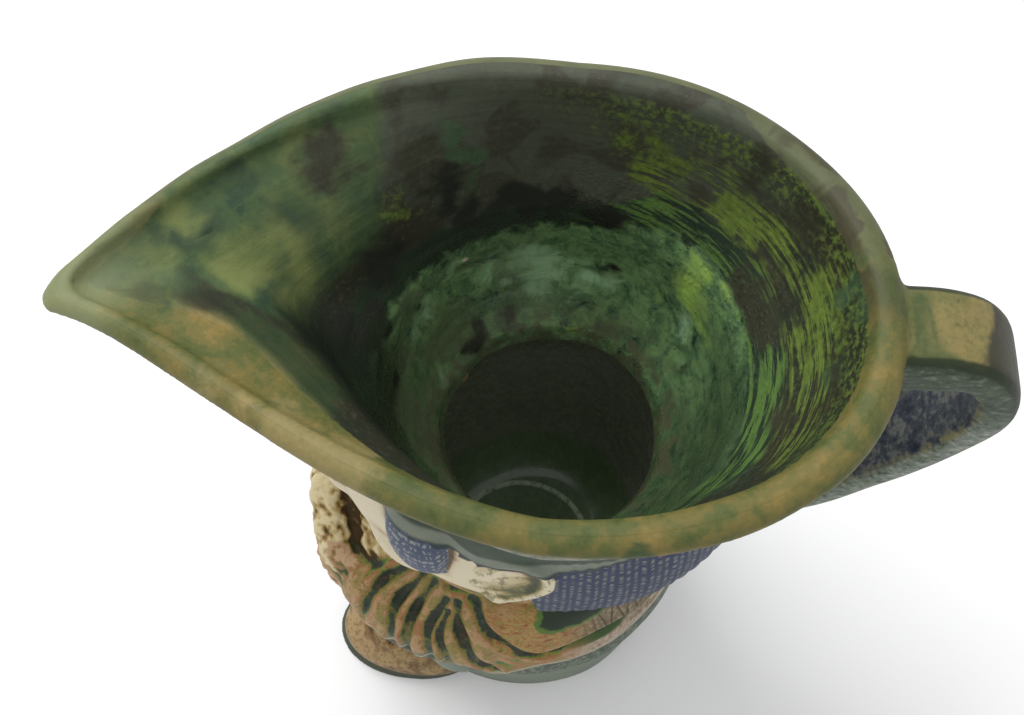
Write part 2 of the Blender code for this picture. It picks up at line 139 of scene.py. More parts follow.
def balls(build, centre, radii, turn=(0, 0, 0)):
    ball(build, centre, radii, turn)
    ball(build, mirrored(centre), radii, (turn[0], -turn[1], -turn[2]))


def eased(points, steps):
    """A smooth run through rows of numbers, by Catmull-Rom, with this many steps between rows."""
    rows = np.array(points, float)
    padded = np.vstack([2 * rows[0] - rows[1], rows, 2 * rows[-1] - rows[-2]])
    run = []
    for index in range(1, len(rows)):
        a, b, c, d = padded[index - 1:index + 3]
        for step in range(steps):
            t = step / steps
            run.append(0.5 * (2 * b + (c - a) * t + (2 * a - 5 * b + 4 * c - d) * t * t
                              + (3 * b - a - 3 * c + d) * t ** 3))
    run.append(rows[-1])
    return np.array(run)


# Rounded end of a rope: how far past its last point, and how thick, as shares of its radius
ROPE_END = ((0.92, 0.4), (0.5, 0.86))


def sweep(build, points, radii, flat=1, up=(0, 0, 1), steps=6, sides=14):
    """A round-ended rope through the points; flat squeezes its section along up."""
    run = eased([(*point, radius) for point, radius in zip(points, radii)], steps)
    path = [Vector(row[:3]) for row in run]
    widths = [max(row[3], 0.2) for row in run]
    rings = []
    last = len(path) - 1
    stations = []
    for index, (middle, width) in enumerate(zip(path, widths)):
        ahead = (path[min(index + 1, last)] - path[max(index - 1, 0)]).normalized()
        if index == 0:
            stations += [(middle - ahead * width * back, width * size, ahead) for back, size in ROPE_END]
        stations.append((middle, width, ahead))
        if index == last:
            stations += [(middle + ahead * width * on, width * size, ahead) for on, size in reversed(ROPE_END)]
    for middle, width, ahead in stations:
        side = ahead.cross(Vector(up))
        if side.length < 0.05:
            side = ahead.cross(Vector((0.3, 1, 0.2)))
        side.normalize()
        over = side.cross(ahead).normalized()
        ring = []
        for number in range(sides):
            angle = 2 * math.pi * number / sides
            across = side * width * math.cos(angle)
            ring.append(build.verts.new(middle + across + over * width * flat * math.sin(angle)))
        rings.append(ring)
    for first, second in zip(rings, rings[1:]):
        for number in range(sides):
            after = (number + 1) % sides
            build.faces.new((first[number], first[after], second[after], second[number]))
    build.faces.new(list(reversed(rings[0])))
    build.faces.new(rings[-1])


def sweeps(build, points, radii, flat=1, up=(0, 0, 1), steps=6, sides=14):
    sweep(build, points, radii, flat, up, steps, sides)
    sweep(build, [mirrored(point) for point in points], radii, flat, (-up[0], up[1], up[2]), steps, sides)


def ring_outline(half_width, back, front, drop, points):
    """One level outline: a squarish ellipse behind, drawn out to a spout in front as drop goes from 0 to 1."""
    outline = []
    for index in range(points):
        angle = 2 * math.pi * index / points
        across = math.cos(angle)
        along = math.sin(angle)
        if along >= 0:
            x = half_width * math.copysign(abs(across) ** RIM_SQUARENESS, across)
            y = back * along ** RIM_SQUARENESS
        else:
            blunt = min(math.sqrt((1 + along) / TIP_BLUNTNESS), 1)
            drawn = math.cos(math.pi * abs(along) / 2 * FLANK_CURVE) * blunt
            x = half_width * math.copysign((1 - drop) * abs(across) + drop * drawn, across)
            y = front * along
        outline.append((x, y))
    return outline


def rim_shift(y):
    """Sideways sway of the hand-drawn rim and droop of its spout, at this place along the jug."""
    forward = min(max(-y / SPOUT_REACH, 0), 1)
    behind = min(max(y / RIM_BACK, 0), 1)
    sway = RIM_SWAY * (2.8 * forward ** 6 - math.sin(math.pi * forward) - 0.27 + 0.8 * behind ** 2)
    return sway, -SPOUT_DROOP * forward ** 2


def loft(build, levels, steps=3, points=RING_POINTS, forward=0):
    """Level outlines skinned from the top down, closed at both ends: z, half width, back, front, drop."""
    rings = []
    for z, half_width, back, front, drop in eased(levels, steps):
        drop = min(max(drop, 0), 1)
        ring = []
        for x, y in ring_outline(half_width, back, front, drop, points):
            sway, droop = rim_shift(y) if drop > 0 else (0, 0)
            ring.append(build.verts.new((x + sway * drop, y - forward, z + droop * drop)))
        rings.append(ring)
    for upper, lower in zip(rings, rings[1:]):
        for index in range(points):
            after = (index + 1) % points
            build.faces.new((upper[index], lower[index], lower[after], upper[after]))
    build.faces.new(rings[0])
    build.faces.new(list(reversed(rings[-1])))


def drum(build, levels, forward=0):
    """A loft of plain rings about an upright axis; a level is z, half width, back, front."""
    loft(build, [(*level, 0) for level in levels], points=96, forward=forward)


def around(radius, z, start, end, count, forward=MANTLE_FORWARD):
    """Points along an arc about the body's own axis, angles in degrees from +X towards +Y."""
    angles = [math.radians(start + (end - start) * index / (count - 1)) for index in range(count)]
    return [(radius * math.cos(angle), radius * math.sin(angle) - forward, z) for angle in angles]


# Sub-forms of the figure

def base_form(build):
    levels = []
    for z, radius in ((100, 59), (80, 58), (60, 57.5), (35, 56.5), (14, 55.5), (4, 54.8), (-4, 54.5)):
        levels.append((z, radius, radius, radius))
    drum(build, levels, BODY_FORWARD)


def mantle_form(build):
    levels = []
    for z, radius in ((132, 42), (127, 48), (122, 54), (116, 58.5), (108, 61.5), (98, 64), (90, 65.5),
                      (84, 66), (80.5, 65), (79, 61), (79, 55)):
        levels.append((z, radius, radius * 0.9, radius))
    drum(build, levels, MANTLE_FORWARD)
    balls(build, (43, -1, 108), (17, 22, 17), (0, -20, 0))


def collar_form(build):
    sweep(build, around(49.5, 131, -68, 248, 22, 6), [3] + [4.4] * 20 + [3])
    sweeps(build, [(20, -52, 130), (12, -62, 121), (10, -66, 108), (14, -67, 92), (18, -66, 74)],
           (4, 4.6, 4.4, 4, 3))
    ball(build, (0, -54, 122), (13, 9, 12))
    ball(build, (HANDLE_SIDE, 53, HANDLE_FOOT_HEIGHT - 2), (16, 8, 13))


def head_form(build):
    levels = [(196, 53, 58, 52), (187, 55.5, 61, 55), (178, 57, 63, 57.5), (170, 58, 63.5, 59),
              (162, 58.2, 63.5, 60), (154, 58, 62.5, 60), (147, 56, 60, 58.5), (140, 51, 54, 55),
              (134, 43, 46, 48), (127, 34, 40, 34)]
    drum(build, levels, HEAD_FORWARD)
    ball(build, (0, -50, 138), (26, 16, 11))
    ball(build, (0, -59, 136.5), (9.5, 8, 7))
    balls(build, (35, -30, 156), (18.5, 18.5, 14))


def face_form(build):
    ball(build, (0, -56.5, 186), (36, 8, 6.5))
    balls(build, (15, -58.6, 171.2), (7.8, 6.4, 5.6))
    sweeps(build, [(24, -55.5, 170.8), (15.5, -64.6, 174.6), (7.6, -61.5, 171)], (1.2, 1.7, 1.2))
    sweeps(build, [(24, -55.5, 170.6), (15, -64, 167.4), (7.6, -61.5, 170.4)], (1.1, 1.4, 1.1))
    sweep(build, [(0, -58, 184), (0, -62, 177), (0, -67.5, 168), (0, -72.5, 160.5), (0, -66, 156)],
          (4.6, 4, 4.6, 5.6, 4))
    balls(build, (5.8, -66.5, 158.6), (4, 4.6, 3.8))
    ball(build, (0, -56.5, 148.5), (21, 10.5, 9))
    balls(build, (22, -52, 158), (12, 11, 9))
    upper_lip = [(-12.5, -61.5, 148.6), (-6.5, -66.2, 150.2), (-2.2, -67.6, 151.2), (0, -67.2, 150.6),
                 (2.2, -67.6, 151.2), (6.5, -66.2, 150.2), (12.5, -61.5, 148.6)]
    sweep(build, upper_lip, (0.9, 1.7, 2.1, 1.9, 2.1, 1.7, 0.9))
    lower_lip = [(-10.5, -62.5, 147.8), (-5, -66.4, 146.4), (0, -67.2, 145.9), (5, -66.4, 146.4),
                 (10.5, -62.5, 147.8)]
    sweep(build, lower_lip, (0.9, 2.1, 2.5, 2.1, 0.9))


def brow_form(build):
    sweeps(build, [(6.5, -62, 180.6), (13.5, -62.5, 182.4), (21, -59, 181.6), (28, -54, 177.6)],
           (1.7, 2.3, 2.1, 1.2))


def ear_place(u, v, w):
    """A point of the ear: u backwards, v up, w outwards, millimetres, on the left ear's own tilted plane."""
    return (51.4 + 0.95 * w - 0.16 * v, -7 + u + 0.1 * v - 0.06 * w, 164.5 + 0.97 * v + 0.26 * w)


def ear_form(build):
    balls(build, ear_place(0, 0, -1), (5.2, 9.5, 13.5), (0, -14, 0))
    helix = [(-6.5, -1, 3), (-8, 6, 4.4), (-5, 12.4, 5.6), (2, 14.6, 6.6), (8.4, 10.4, 7), (9.8, 2, 6.6),
             (6.6, -6, 5.4), (1.6, -11.4, 4.4)]
    sweeps(build, [ear_place(*p) for p in helix], (1.6, 2, 2.3, 2.5, 2.5, 2.3, 2.2, 2.2), steps=5)
    inner = [(-1.6, 9, 4.2), (3.4, 6, 5.2), (4.4, 0, 5.4), (1.8, -6, 4.8), (-3, -7.6, 4.6)]
    sweeps(build, [ear_place(*p) for p in inner], (1.2, 1.7, 1.9, 1.7, 1.8), steps=5)
    balls(build, ear_place(-7, -3, 3.6), (2.6, 2.8, 3.6))
    balls(build, ear_place(-1.4, -12.4, 3.2), (3.2, 4.2, 4.4))


def sideburn_form(build):
    course = [(47, -31, 190), (51.5, -31.5, 180), (53.4, -30.5, 172), (54, -28, 166)]
    sweeps(build, course, (9, 8.8, 7.5, 3.8), flat=0.5, up=(0.9, -0.45, 0))


def hair_form(build):
    drum(build, [(196, 40, 55, 0), (188, 49, 58, 0), (176, 54.5, 61, 0), (162, 57, 63, 0),
                 (150, 58, 63.5, 0), (142, 58, 62.5, 0), (138, 57, 61, 0), (137, 54, 57.5, 0),
                 (136.5, 48, 50, 0)])
    for index in range(LOCKS):
        angle = math.radians(6 + 168 * index / (LOCKS - 1))
        course = ((47.5, 188), (52, 174), (54.3, 158), (54.3, 144), (51, 137.5))
        points = [(reach * math.cos(angle), (reach + 4) * math.sin(angle), z) for reach, z in course]
        sweep(build, points, (4.5, 4.6, 4.7, 4.2, 2.8), sides=12)


def upper_arm_path():
    return [(41, 10, 112), (46, -6, 101), (48, -24, 95), (45, -40, 97), (41, -49.5, 101)]


def sleeve_form(build):
    sweeps(build, upper_arm_path(), (15, 17.5, 18, 16.5, 14.5), steps=8, sides=28)


def fold_form(build):
    """Ridges of cloth that run from the inner elbow round the forearm."""
    ridges = (
        [(44.5, -38, 119.2), (48, -44.4, 111.7), (54.6, -48, 105.7), (55.4, -49, 98)],
        [(46.8, -34.5, 119.6), (52.3, -39.5, 110.2), (58.6, -41.6, 103.2), (60.2, -42, 95)],
        [(50.3, -30.2, 118.2), (55.4, -34, 108.8), (61.2, -35.5, 101.2), (62.6, -36, 92)],
        [(54, -27.2, 115.2), (58.2, -30, 107.2), (62.8, -29.4, 100), (64, -28, 91)],
        [(54.2, -25.2, 116), (58, -25.8, 109.2), (62.2, -24, 103.2), (64.4, -20, 95.4), (64.4, -14, 87)],
        [(53, -20, 119.2), (57.4, -18.6, 112.2), (61, -14, 106.7), (62.8, -8.5, 98.4), (62.8, -2, 91)],
    )
    for ridge in ridges:
        sweeps(build, ridge, [1.4] + [2.5] * (len(ridge) - 2) + [1.6], steps=5, sides=12)


def cuff_form(build):
    rim = []
    for index in range(25):
        angle = 2 * math.pi * index / 24
        wave = 1.1 * math.sin(angle * 7)
        reach = 14.6 + 0.8 * math.sin(angle * 7 + 1.2)
        across = Vector((0.88, 0.47, 0)) * reach * math.cos(angle)
        over = Vector((0.12, 0.22, 0.97)) * reach * math.sin(angle)
        rim.append(Vector((41, -51.5, 99)) + across + over + Vector((-0.1, -1, 0.1)) * wave)
    sweeps(build, [tuple(point) for point in rim], [1.7] * len(rim), steps=3, sides=10)


def hand_form(build):
    balls(build, (37, -57, 100), (10, 8.5, 8.5), (0, 20, -30))
    for index in range(4):
        z = 103 - 5.8 * index
        reach = 1 - 0.12 * abs(index - 1)
        points = [(43, -59, z), (37.5, -66.5, z - 0.6), (30, -70.5, z - 1.8), (30 - 8 * reach, -71.5, z - 3)]
        sweeps(build, points, (3.3, 3.5, 3.1, 2.7), steps=5)
    sweeps(build, [(44, -52, 106), (39, -60, 110), (32, -65.5, 112), (26, -67.5, 111.5)], (4, 4.1, 3.5, 3))


def bundle_form(build):
    ball(build, (0, -54, 97), (39, 16, 22))
    lip = [(-43, -53, 98), (-35, -60, 109), (-22, -65, 115), (-9, -67.5, 112.5), (4, -66.5, 115.5),
           (17, -67.5, 116.5), (27, -66, 113.5), (36, -62.5, 108.5), (43, -55.5, 99)]
    sweep(build, lip, (5.5, 6.2, 6.6, 6, 6.4, 6.8, 6.6, 6.6, 5.5), steps=6, sides=16)
    sweeps(build, [(42, -55, 99), (38, -59, 88), (28, -63.5, 80.5), (12, -66.5, 79), (0, -67, 79.5)],
           (5.6, 6.2, 6.2, 6, 5.6), sides=16)
    balls(build, (13, -62, 97), (16, 9, 12.5))
    ball(build, (0, -51, 109), (39, 14, 12))
    for x, y, z, size in ((22, -70, 104, 4.4), (10, -71, 90, 4), (-16, -70.5, 101, 4.6), (-3, -72, 86, 3.6),
                          (29, -67, 91, 3.8), (-27, -68, 92, 4.2), (3, -72, 103, 3.8)):
        ball(build, (x, y + 3, z), (size * 1.3, size, size))


def leg_form(build):
    balls(build, (24, -47, 62), (20, 17, 17))
    sweeps(build, [(24, -52, 60), (26, -52.5, 44), (28.5, -51, 28), (30.5, -46, 12)], (14.5, 12, 11, 10.5),
           sides=20)
    balls(build, (27.5, -47, 31), (11.5, 15.5, 13))
    sweeps(build, [(40, -50, 46), (34, -63.5, 44.5), (24, -66, 44), (13, -60, 45), (10, -52, 46)],
           (2.4, 3, 3.2, 3, 2.4))
    balls(build, (40, -58, 45), (3.2, 3, 3.4))


def coat_tail_form(build):
    sweeps(build, [(46, -34, 92), (49, -31, 70), (51, -28, 44), (50, -25, 22)], (9, 9.5, 8.5, 6), sides=18)


def shoe_form(build):
    balls(build, (36.5, -45, 6), (19.5, 30.5, 14))
    balls(build, (33, -36, 15), (14, 16, 11))
    sweeps(build, [(20, -56, 12), (28, -60, 17.5), (37, -60, 19), (46, -57, 15), (52, -50, 9)],
           (2.2, 2.8, 3, 2.8, 2.2))
    balls(build, (36, -61.5, 18.5), (5, 3, 3.6), (40, 0, 0))


def sole_form(build):
    balls(build, (36, -47, 0.5), (21, 31, 5.2))


def spout_front(depth):
    """How far in front of the axis the inside of the spout reaches at this depth below the rim."""
    depths, reaches = zip(*SPOUT_PROFILE)
    return float(np.interp(depth, depths, reaches))


def lip_levels(*steps):
    """Levels of the rolled lip, from steps of depth and inset as shares of the roll's radius."""
    roll = RIM_THICKNESS / 2
    return [(GRID_HEIGHT - depth * roll, RIM_HALF_WIDTH - inset * roll, RIM_BACK - inset * roll,
             SPOUT_REACH - inset * roll, 1) for depth, inset in steps]


def hat_form(build):
    flare = RIM_HALF_WIDTH - BODY_RADIUS
    levels = lip_levels((0, 0.95), (0.12, 0.5), (0.45, 0.1), (1, 0))
    for depth, bulge, drop in ((8, -1, 1), (12, -2.6, 1), (17, -2.8, 1), (20, -0.6, 1), (22.5, 0.8, 1),
                               (25, 0, 1), (29, -1.6, 0.95), (34, -1.8, 0.8), (39, -1.6, 0.6),
                               (45, -1.6, 0.3)):
        narrow = min(depth / 30, 1)
        width = RIM_HALF_WIDTH - flare * narrow * 1.1 - max(depth - 30, 0) * 0.12 + bulge
        back = RIM_BACK - 0.34 * depth - max(depth - 40, 0) * 0.1 + bulge
        front = spout_front(depth - 1.25 * HEAD_WALL) + HEAD_WALL * min(depth / 20, 1) * 0.4 + bulge
        levels.append((GRID_HEIGHT - depth, width, back, front, drop))
    loft(build, levels, steps=4, points=240)


def bore_form(build):
    """The whole hollow: flared mouth and spout channel, head cavity, narrow neck, body chamber, floor."""
    levels = lip_levels((-1, 0.9), (0, 1.1), (0.2, 1.6), (1, 2))
    mouth_width = RIM_HALF_WIDTH - RIM_THICKNESS
    mouth_back = RIM_BACK - RIM_THICKNESS
    head = BODY_RADIUS - HEAD_INSET - HEAD_WALL
    for depth, drop, share in ((10, 1, 0.06), (18, 1, 0.18), (25, 0.95, 0.33), (31, 0.85, 0.5),
                               (37, 0.65, 0.7), (44, 0.3, 0.9), (53, 0, 1)):
        levels.append((GRID_HEIGHT - depth, mouth_width + (head - mouth_width) * share,
                       mouth_back + (head - mouth_back) * share, spout_front(depth), drop))
    neck = GRID_HEIGHT - NECK_DEPTH
    for rise, share in ((30, 0.93), (20, 0.72), (11, 0.42), (4, 0.1), (0, 0), (-3, 0)):
        radius = NECK_BORE_RADIUS + (head - NECK_BORE_RADIUS) * share
        levels.append((neck + rise, radius, radius, radius, 0))
    tall = neck - FLOOR_THICKNESS
    wide = BODY_SHARE * BODY_RADIUS - BODY_WALL
    for height, share in ((0.9, 0.45), (0.78, 0.8), (0.6, 0.97), (0.4, 1), (0.2, 0.93), (0.1, 0.72),
                          (0.04, 0.4), (0.012, 0.05), (0, -0.25)):
        radius = NECK_BORE_RADIUS + (wide - NECK_BORE_RADIUS) * share
        shift = CHAMBER_FORWARD * min(2 * (1 - height), 1)
        levels.append((FLOOR_THICKNESS + height * tall, radius, radius - shift, radius + shift, 0))
    loft(build, levels, steps=4, points=240)


def handle_path():
    """Middle line of the strap, as y and z."""
    top = GRID_HEIGHT - HANDLE_DROP - HANDLE_THICKNESS / 2
    out = HANDLE_REACH - HANDLE_THICKNESS / 2
    foot = HANDLE_FOOT_HEIGHT
    path = [(RIM_BACK - 12, top - 2), (RIM_BACK + 4, top)]
    for inward, fall in ((17.5, 0.6), (9.8, 4.5), (3.2, 14), (0.4, 27), (4, 43), (10.5, 59), (18, 73)):
        path.append((out - inward, top - fall))
    return path + [(out - 28, foot + 20), (BODY_RADIUS + 6, foot + 4), (BODY_RADIUS - 15, foot - 4)]


def root_swell(y, z):
    """How much thicker the strap is below, where it leaves the rim."""
    near = min(max((HANDLE_REACH - 10 - y) / (HANDLE_THICKNESS * 1.6), 0), 1)
    upper = min(max((z - GRID_HEIGHT + 30) / 12, 0), 1)
    return (HANDLE_ROOT_THICKNESS - HANDLE_THICKNESS) * near * near * (3 - 2 * near) * upper


def handle_form(build):
    """The strap: a rounded-rectangle section carried along a path in the jug's middle plane."""
    path = eased(handle_path(), 8)
    section = []
    half_wide = HANDLE_WIDTH / 2
    half_thick = HANDLE_THICKNESS / 2
    corner = HANDLE_CORNER
    for side_x, side_y, start in ((1, 1, 0), (-1, 1, 90), (-1, -1, 180), (1, -1, 270)):
        for step in range(6):
            angle = math.radians(start + 18 * step)
            section.append((side_x * (half_wide - corner) + corner * math.cos(angle),
                            side_y * (half_thick - corner) + corner * math.sin(angle)))
    rings = []
    for index, (y, z) in enumerate(path):
        ahead = path[min(index + 1, len(path) - 1)] - path[max(index - 1, 0)]
        ahead = ahead / np.hypot(*ahead)
        swell = root_swell(y, z)
        ring = []
        for across, out in section:
            reach = out - swell if out < 0 else out
            ring.append(build.verts.new((HANDLE_SIDE + across, y - ahead[1] * reach, z + ahead[0] * reach)))
        rings.append(ring)
    count = len(section)
    for first, second in zip(rings, rings[1:]):
        for number in range(count):
            after = (number + 1) % count
            build.faces.new((first[number], second[number], second[after], first[after]))
    build.faces.new(rings[0])
    build.faces.new(list(reversed(rings[-1])))
    ball(build, (8, 81.5, 206), (8, 5, 6.5))


# What each part of the figure is built of; its name is also the name of its field
FORMS = {
    "base": (base_form,),
    "coat": (mantle_form, collar_form, coat_tail_form),
    "sleeve": (sleeve_form, fold_form, cuff_form),
    "skin": (head_form, face_form),
    "brow": (brow_form,),
    "ear": (ear_form,),
    "sideburn": (sideburn_form,),
    "hair": (hair_form,),
    "hand": (hand_form,),
    "bundle": (bundle_form,),
    "leg": (leg_form,),
    "shoe": (shoe_form,),
    "sole": (sole_form,),
    "hat": (hat_form,),
    "handle": (handle_form,),
    "bore": (bore_form,),
}


def form_meshes():
    meshes = {}
    for name, makers in FORMS.items():
        build = bmesh.new()
        for make in makers:
            make(build)
        bmesh.ops.recalc_face_normals(build, faces=build.faces)
        meshes[name] = mesh_from(name, build)
    return meshes


def applied(target):
    """The object's evaluated mesh takes the place of its modifiers."""
    seen = target.evaluated_get(bpy.context.evaluated_depsgraph_get())
    mesh = bpy.data.meshes.new_from_object(seen)
    target.modifiers.clear()
    target.data = mesh
    return target


def remesh(target, voxel, rounds):
    made = target.modifiers.new("one_body", "REMESH")
    made.mode = "VOXEL"
    made.voxel_size = voxel
    soft = target.modifiers.new("soften", "SMOOTH")
    soft.factor = 0.5
    soft.iterations = rounds
    applied(target)


def cut(target, name, mesh, operation):
    tool = new_object(name, mesh)
    made = target.modifiers.new(name, "BOOLEAN")
    made.operation = operation
    made.solver = "MANIFOLD"
    made.object = tool
    applied(target)
    bpy.data.objects.remove(tool, do_unlink=True)


def slab_mesh():
    """What lies below the table: cut off, so that the foot is flat."""
    build = bmesh.new()
    wide = 4 * BODY_RADIUS
    place = Matrix.Translation((0, 0, -15)) @ Matrix.Diagonal((wide, wide, 30, 1))
    bmesh.ops.create_cube(build, size=1, matrix=place)
    return mesh_from("slab", build)


def joined(meshes, names):
    build = bmesh.new()
    for name in names:
        build.from_mesh(meshes[name])
    return mesh_from("figure", build)


def largest_part(target):
    """Drops any loose crumb that the remesh leaves."""
    build = bmesh.new()
    build.from_mesh(target.data)
    seen = set()
    groups = []
    for start in build.verts:
        if start in seen:
            continue
        group = [start]
        seen.add(start)
        for vert in group:
            for edge in vert.link_edges:
                other = edge.other_vert(vert)
                if other not in seen:
                    seen.add(other)
                    group.append(other)
        groups.append(group)
    groups.sort(key=len)
    for group in groups[:-1]:
        bmesh.ops.delete(build, geom=group, context="VERTS")
    build.to_mesh(target.data)
    build.free()


# Fine work on the surface, in millimetres: carving first, then the fields that the glaze is painted by

# Deep folds of the left sleeve; the right sleeve has the same
FOLDS = (
    ((43, -38, 122), (46, -46.7, 114.3), (52.4, -52, 108.5), (54, -53, 100)),
    ((45.5, -34, 122), (52.1, -42.1, 111.4), (58.8, -44, 104), (60.5, -44, 95)),
    ((47.8, -31, 122), (54.5, -36.9, 110.6), (60.7, -39.2, 103.4), (62.6, -39, 93)),
    ((52.4, -27, 119.5), (58.2, -31.3, 108.7), (63.9, -31.8, 100), (65, -31.5, 90)),
    ((55, -26, 116), (60.2, -28.7, 107.4), (64.6, -27, 100.5), (66, -25, 89)),
    ((53.4, -23.6, 120.4), (58.2, -22.8, 112.2), (62.3, -20.5, 106.2), (65.6, -15.8, 95), (66, -11, 86)),
    ((52.4, -18, 122.5), (58.9, -14.5, 114.3), (61.8, -7.6, 107.6), (62.8, -1.6, 102), (62.2, 3, 100.8),
     (60, 10, 103), (56, 18, 104.6), (50.5, 26.5, 103.6), (42, 36, 100)),
)

# Dark crease along the bottom of the spout's channel
CREASE = ((3.4, -105.5, 213), (3, -93.5, 211.7), (6.5, -80.8, 209.7), (7.1, -69.1, 204.8), (10, -60, 194))

# Lumps and drips inside the head: x, y, z, radius, height
LUMPS = (
    (-36.9, -28.6, 169.3, 3, 1.2), (-16.6, -29.5, 132.4, 4.5, 1.4), (-12, -33, 137, 3.6, 1.3),
    (-22, -27, 133.5, 3.2, 1.1), (-8.8, -46, 166.1, 5, 0.8), (-21.1, -38.2, 153.3, 5.5, 0.8),
    (-23.6, -40.5, 167.1, 4, 0.6), (-43.7, 8, 168, 5, 0.5), (-30, 33, 165, 6, 0.6),
)

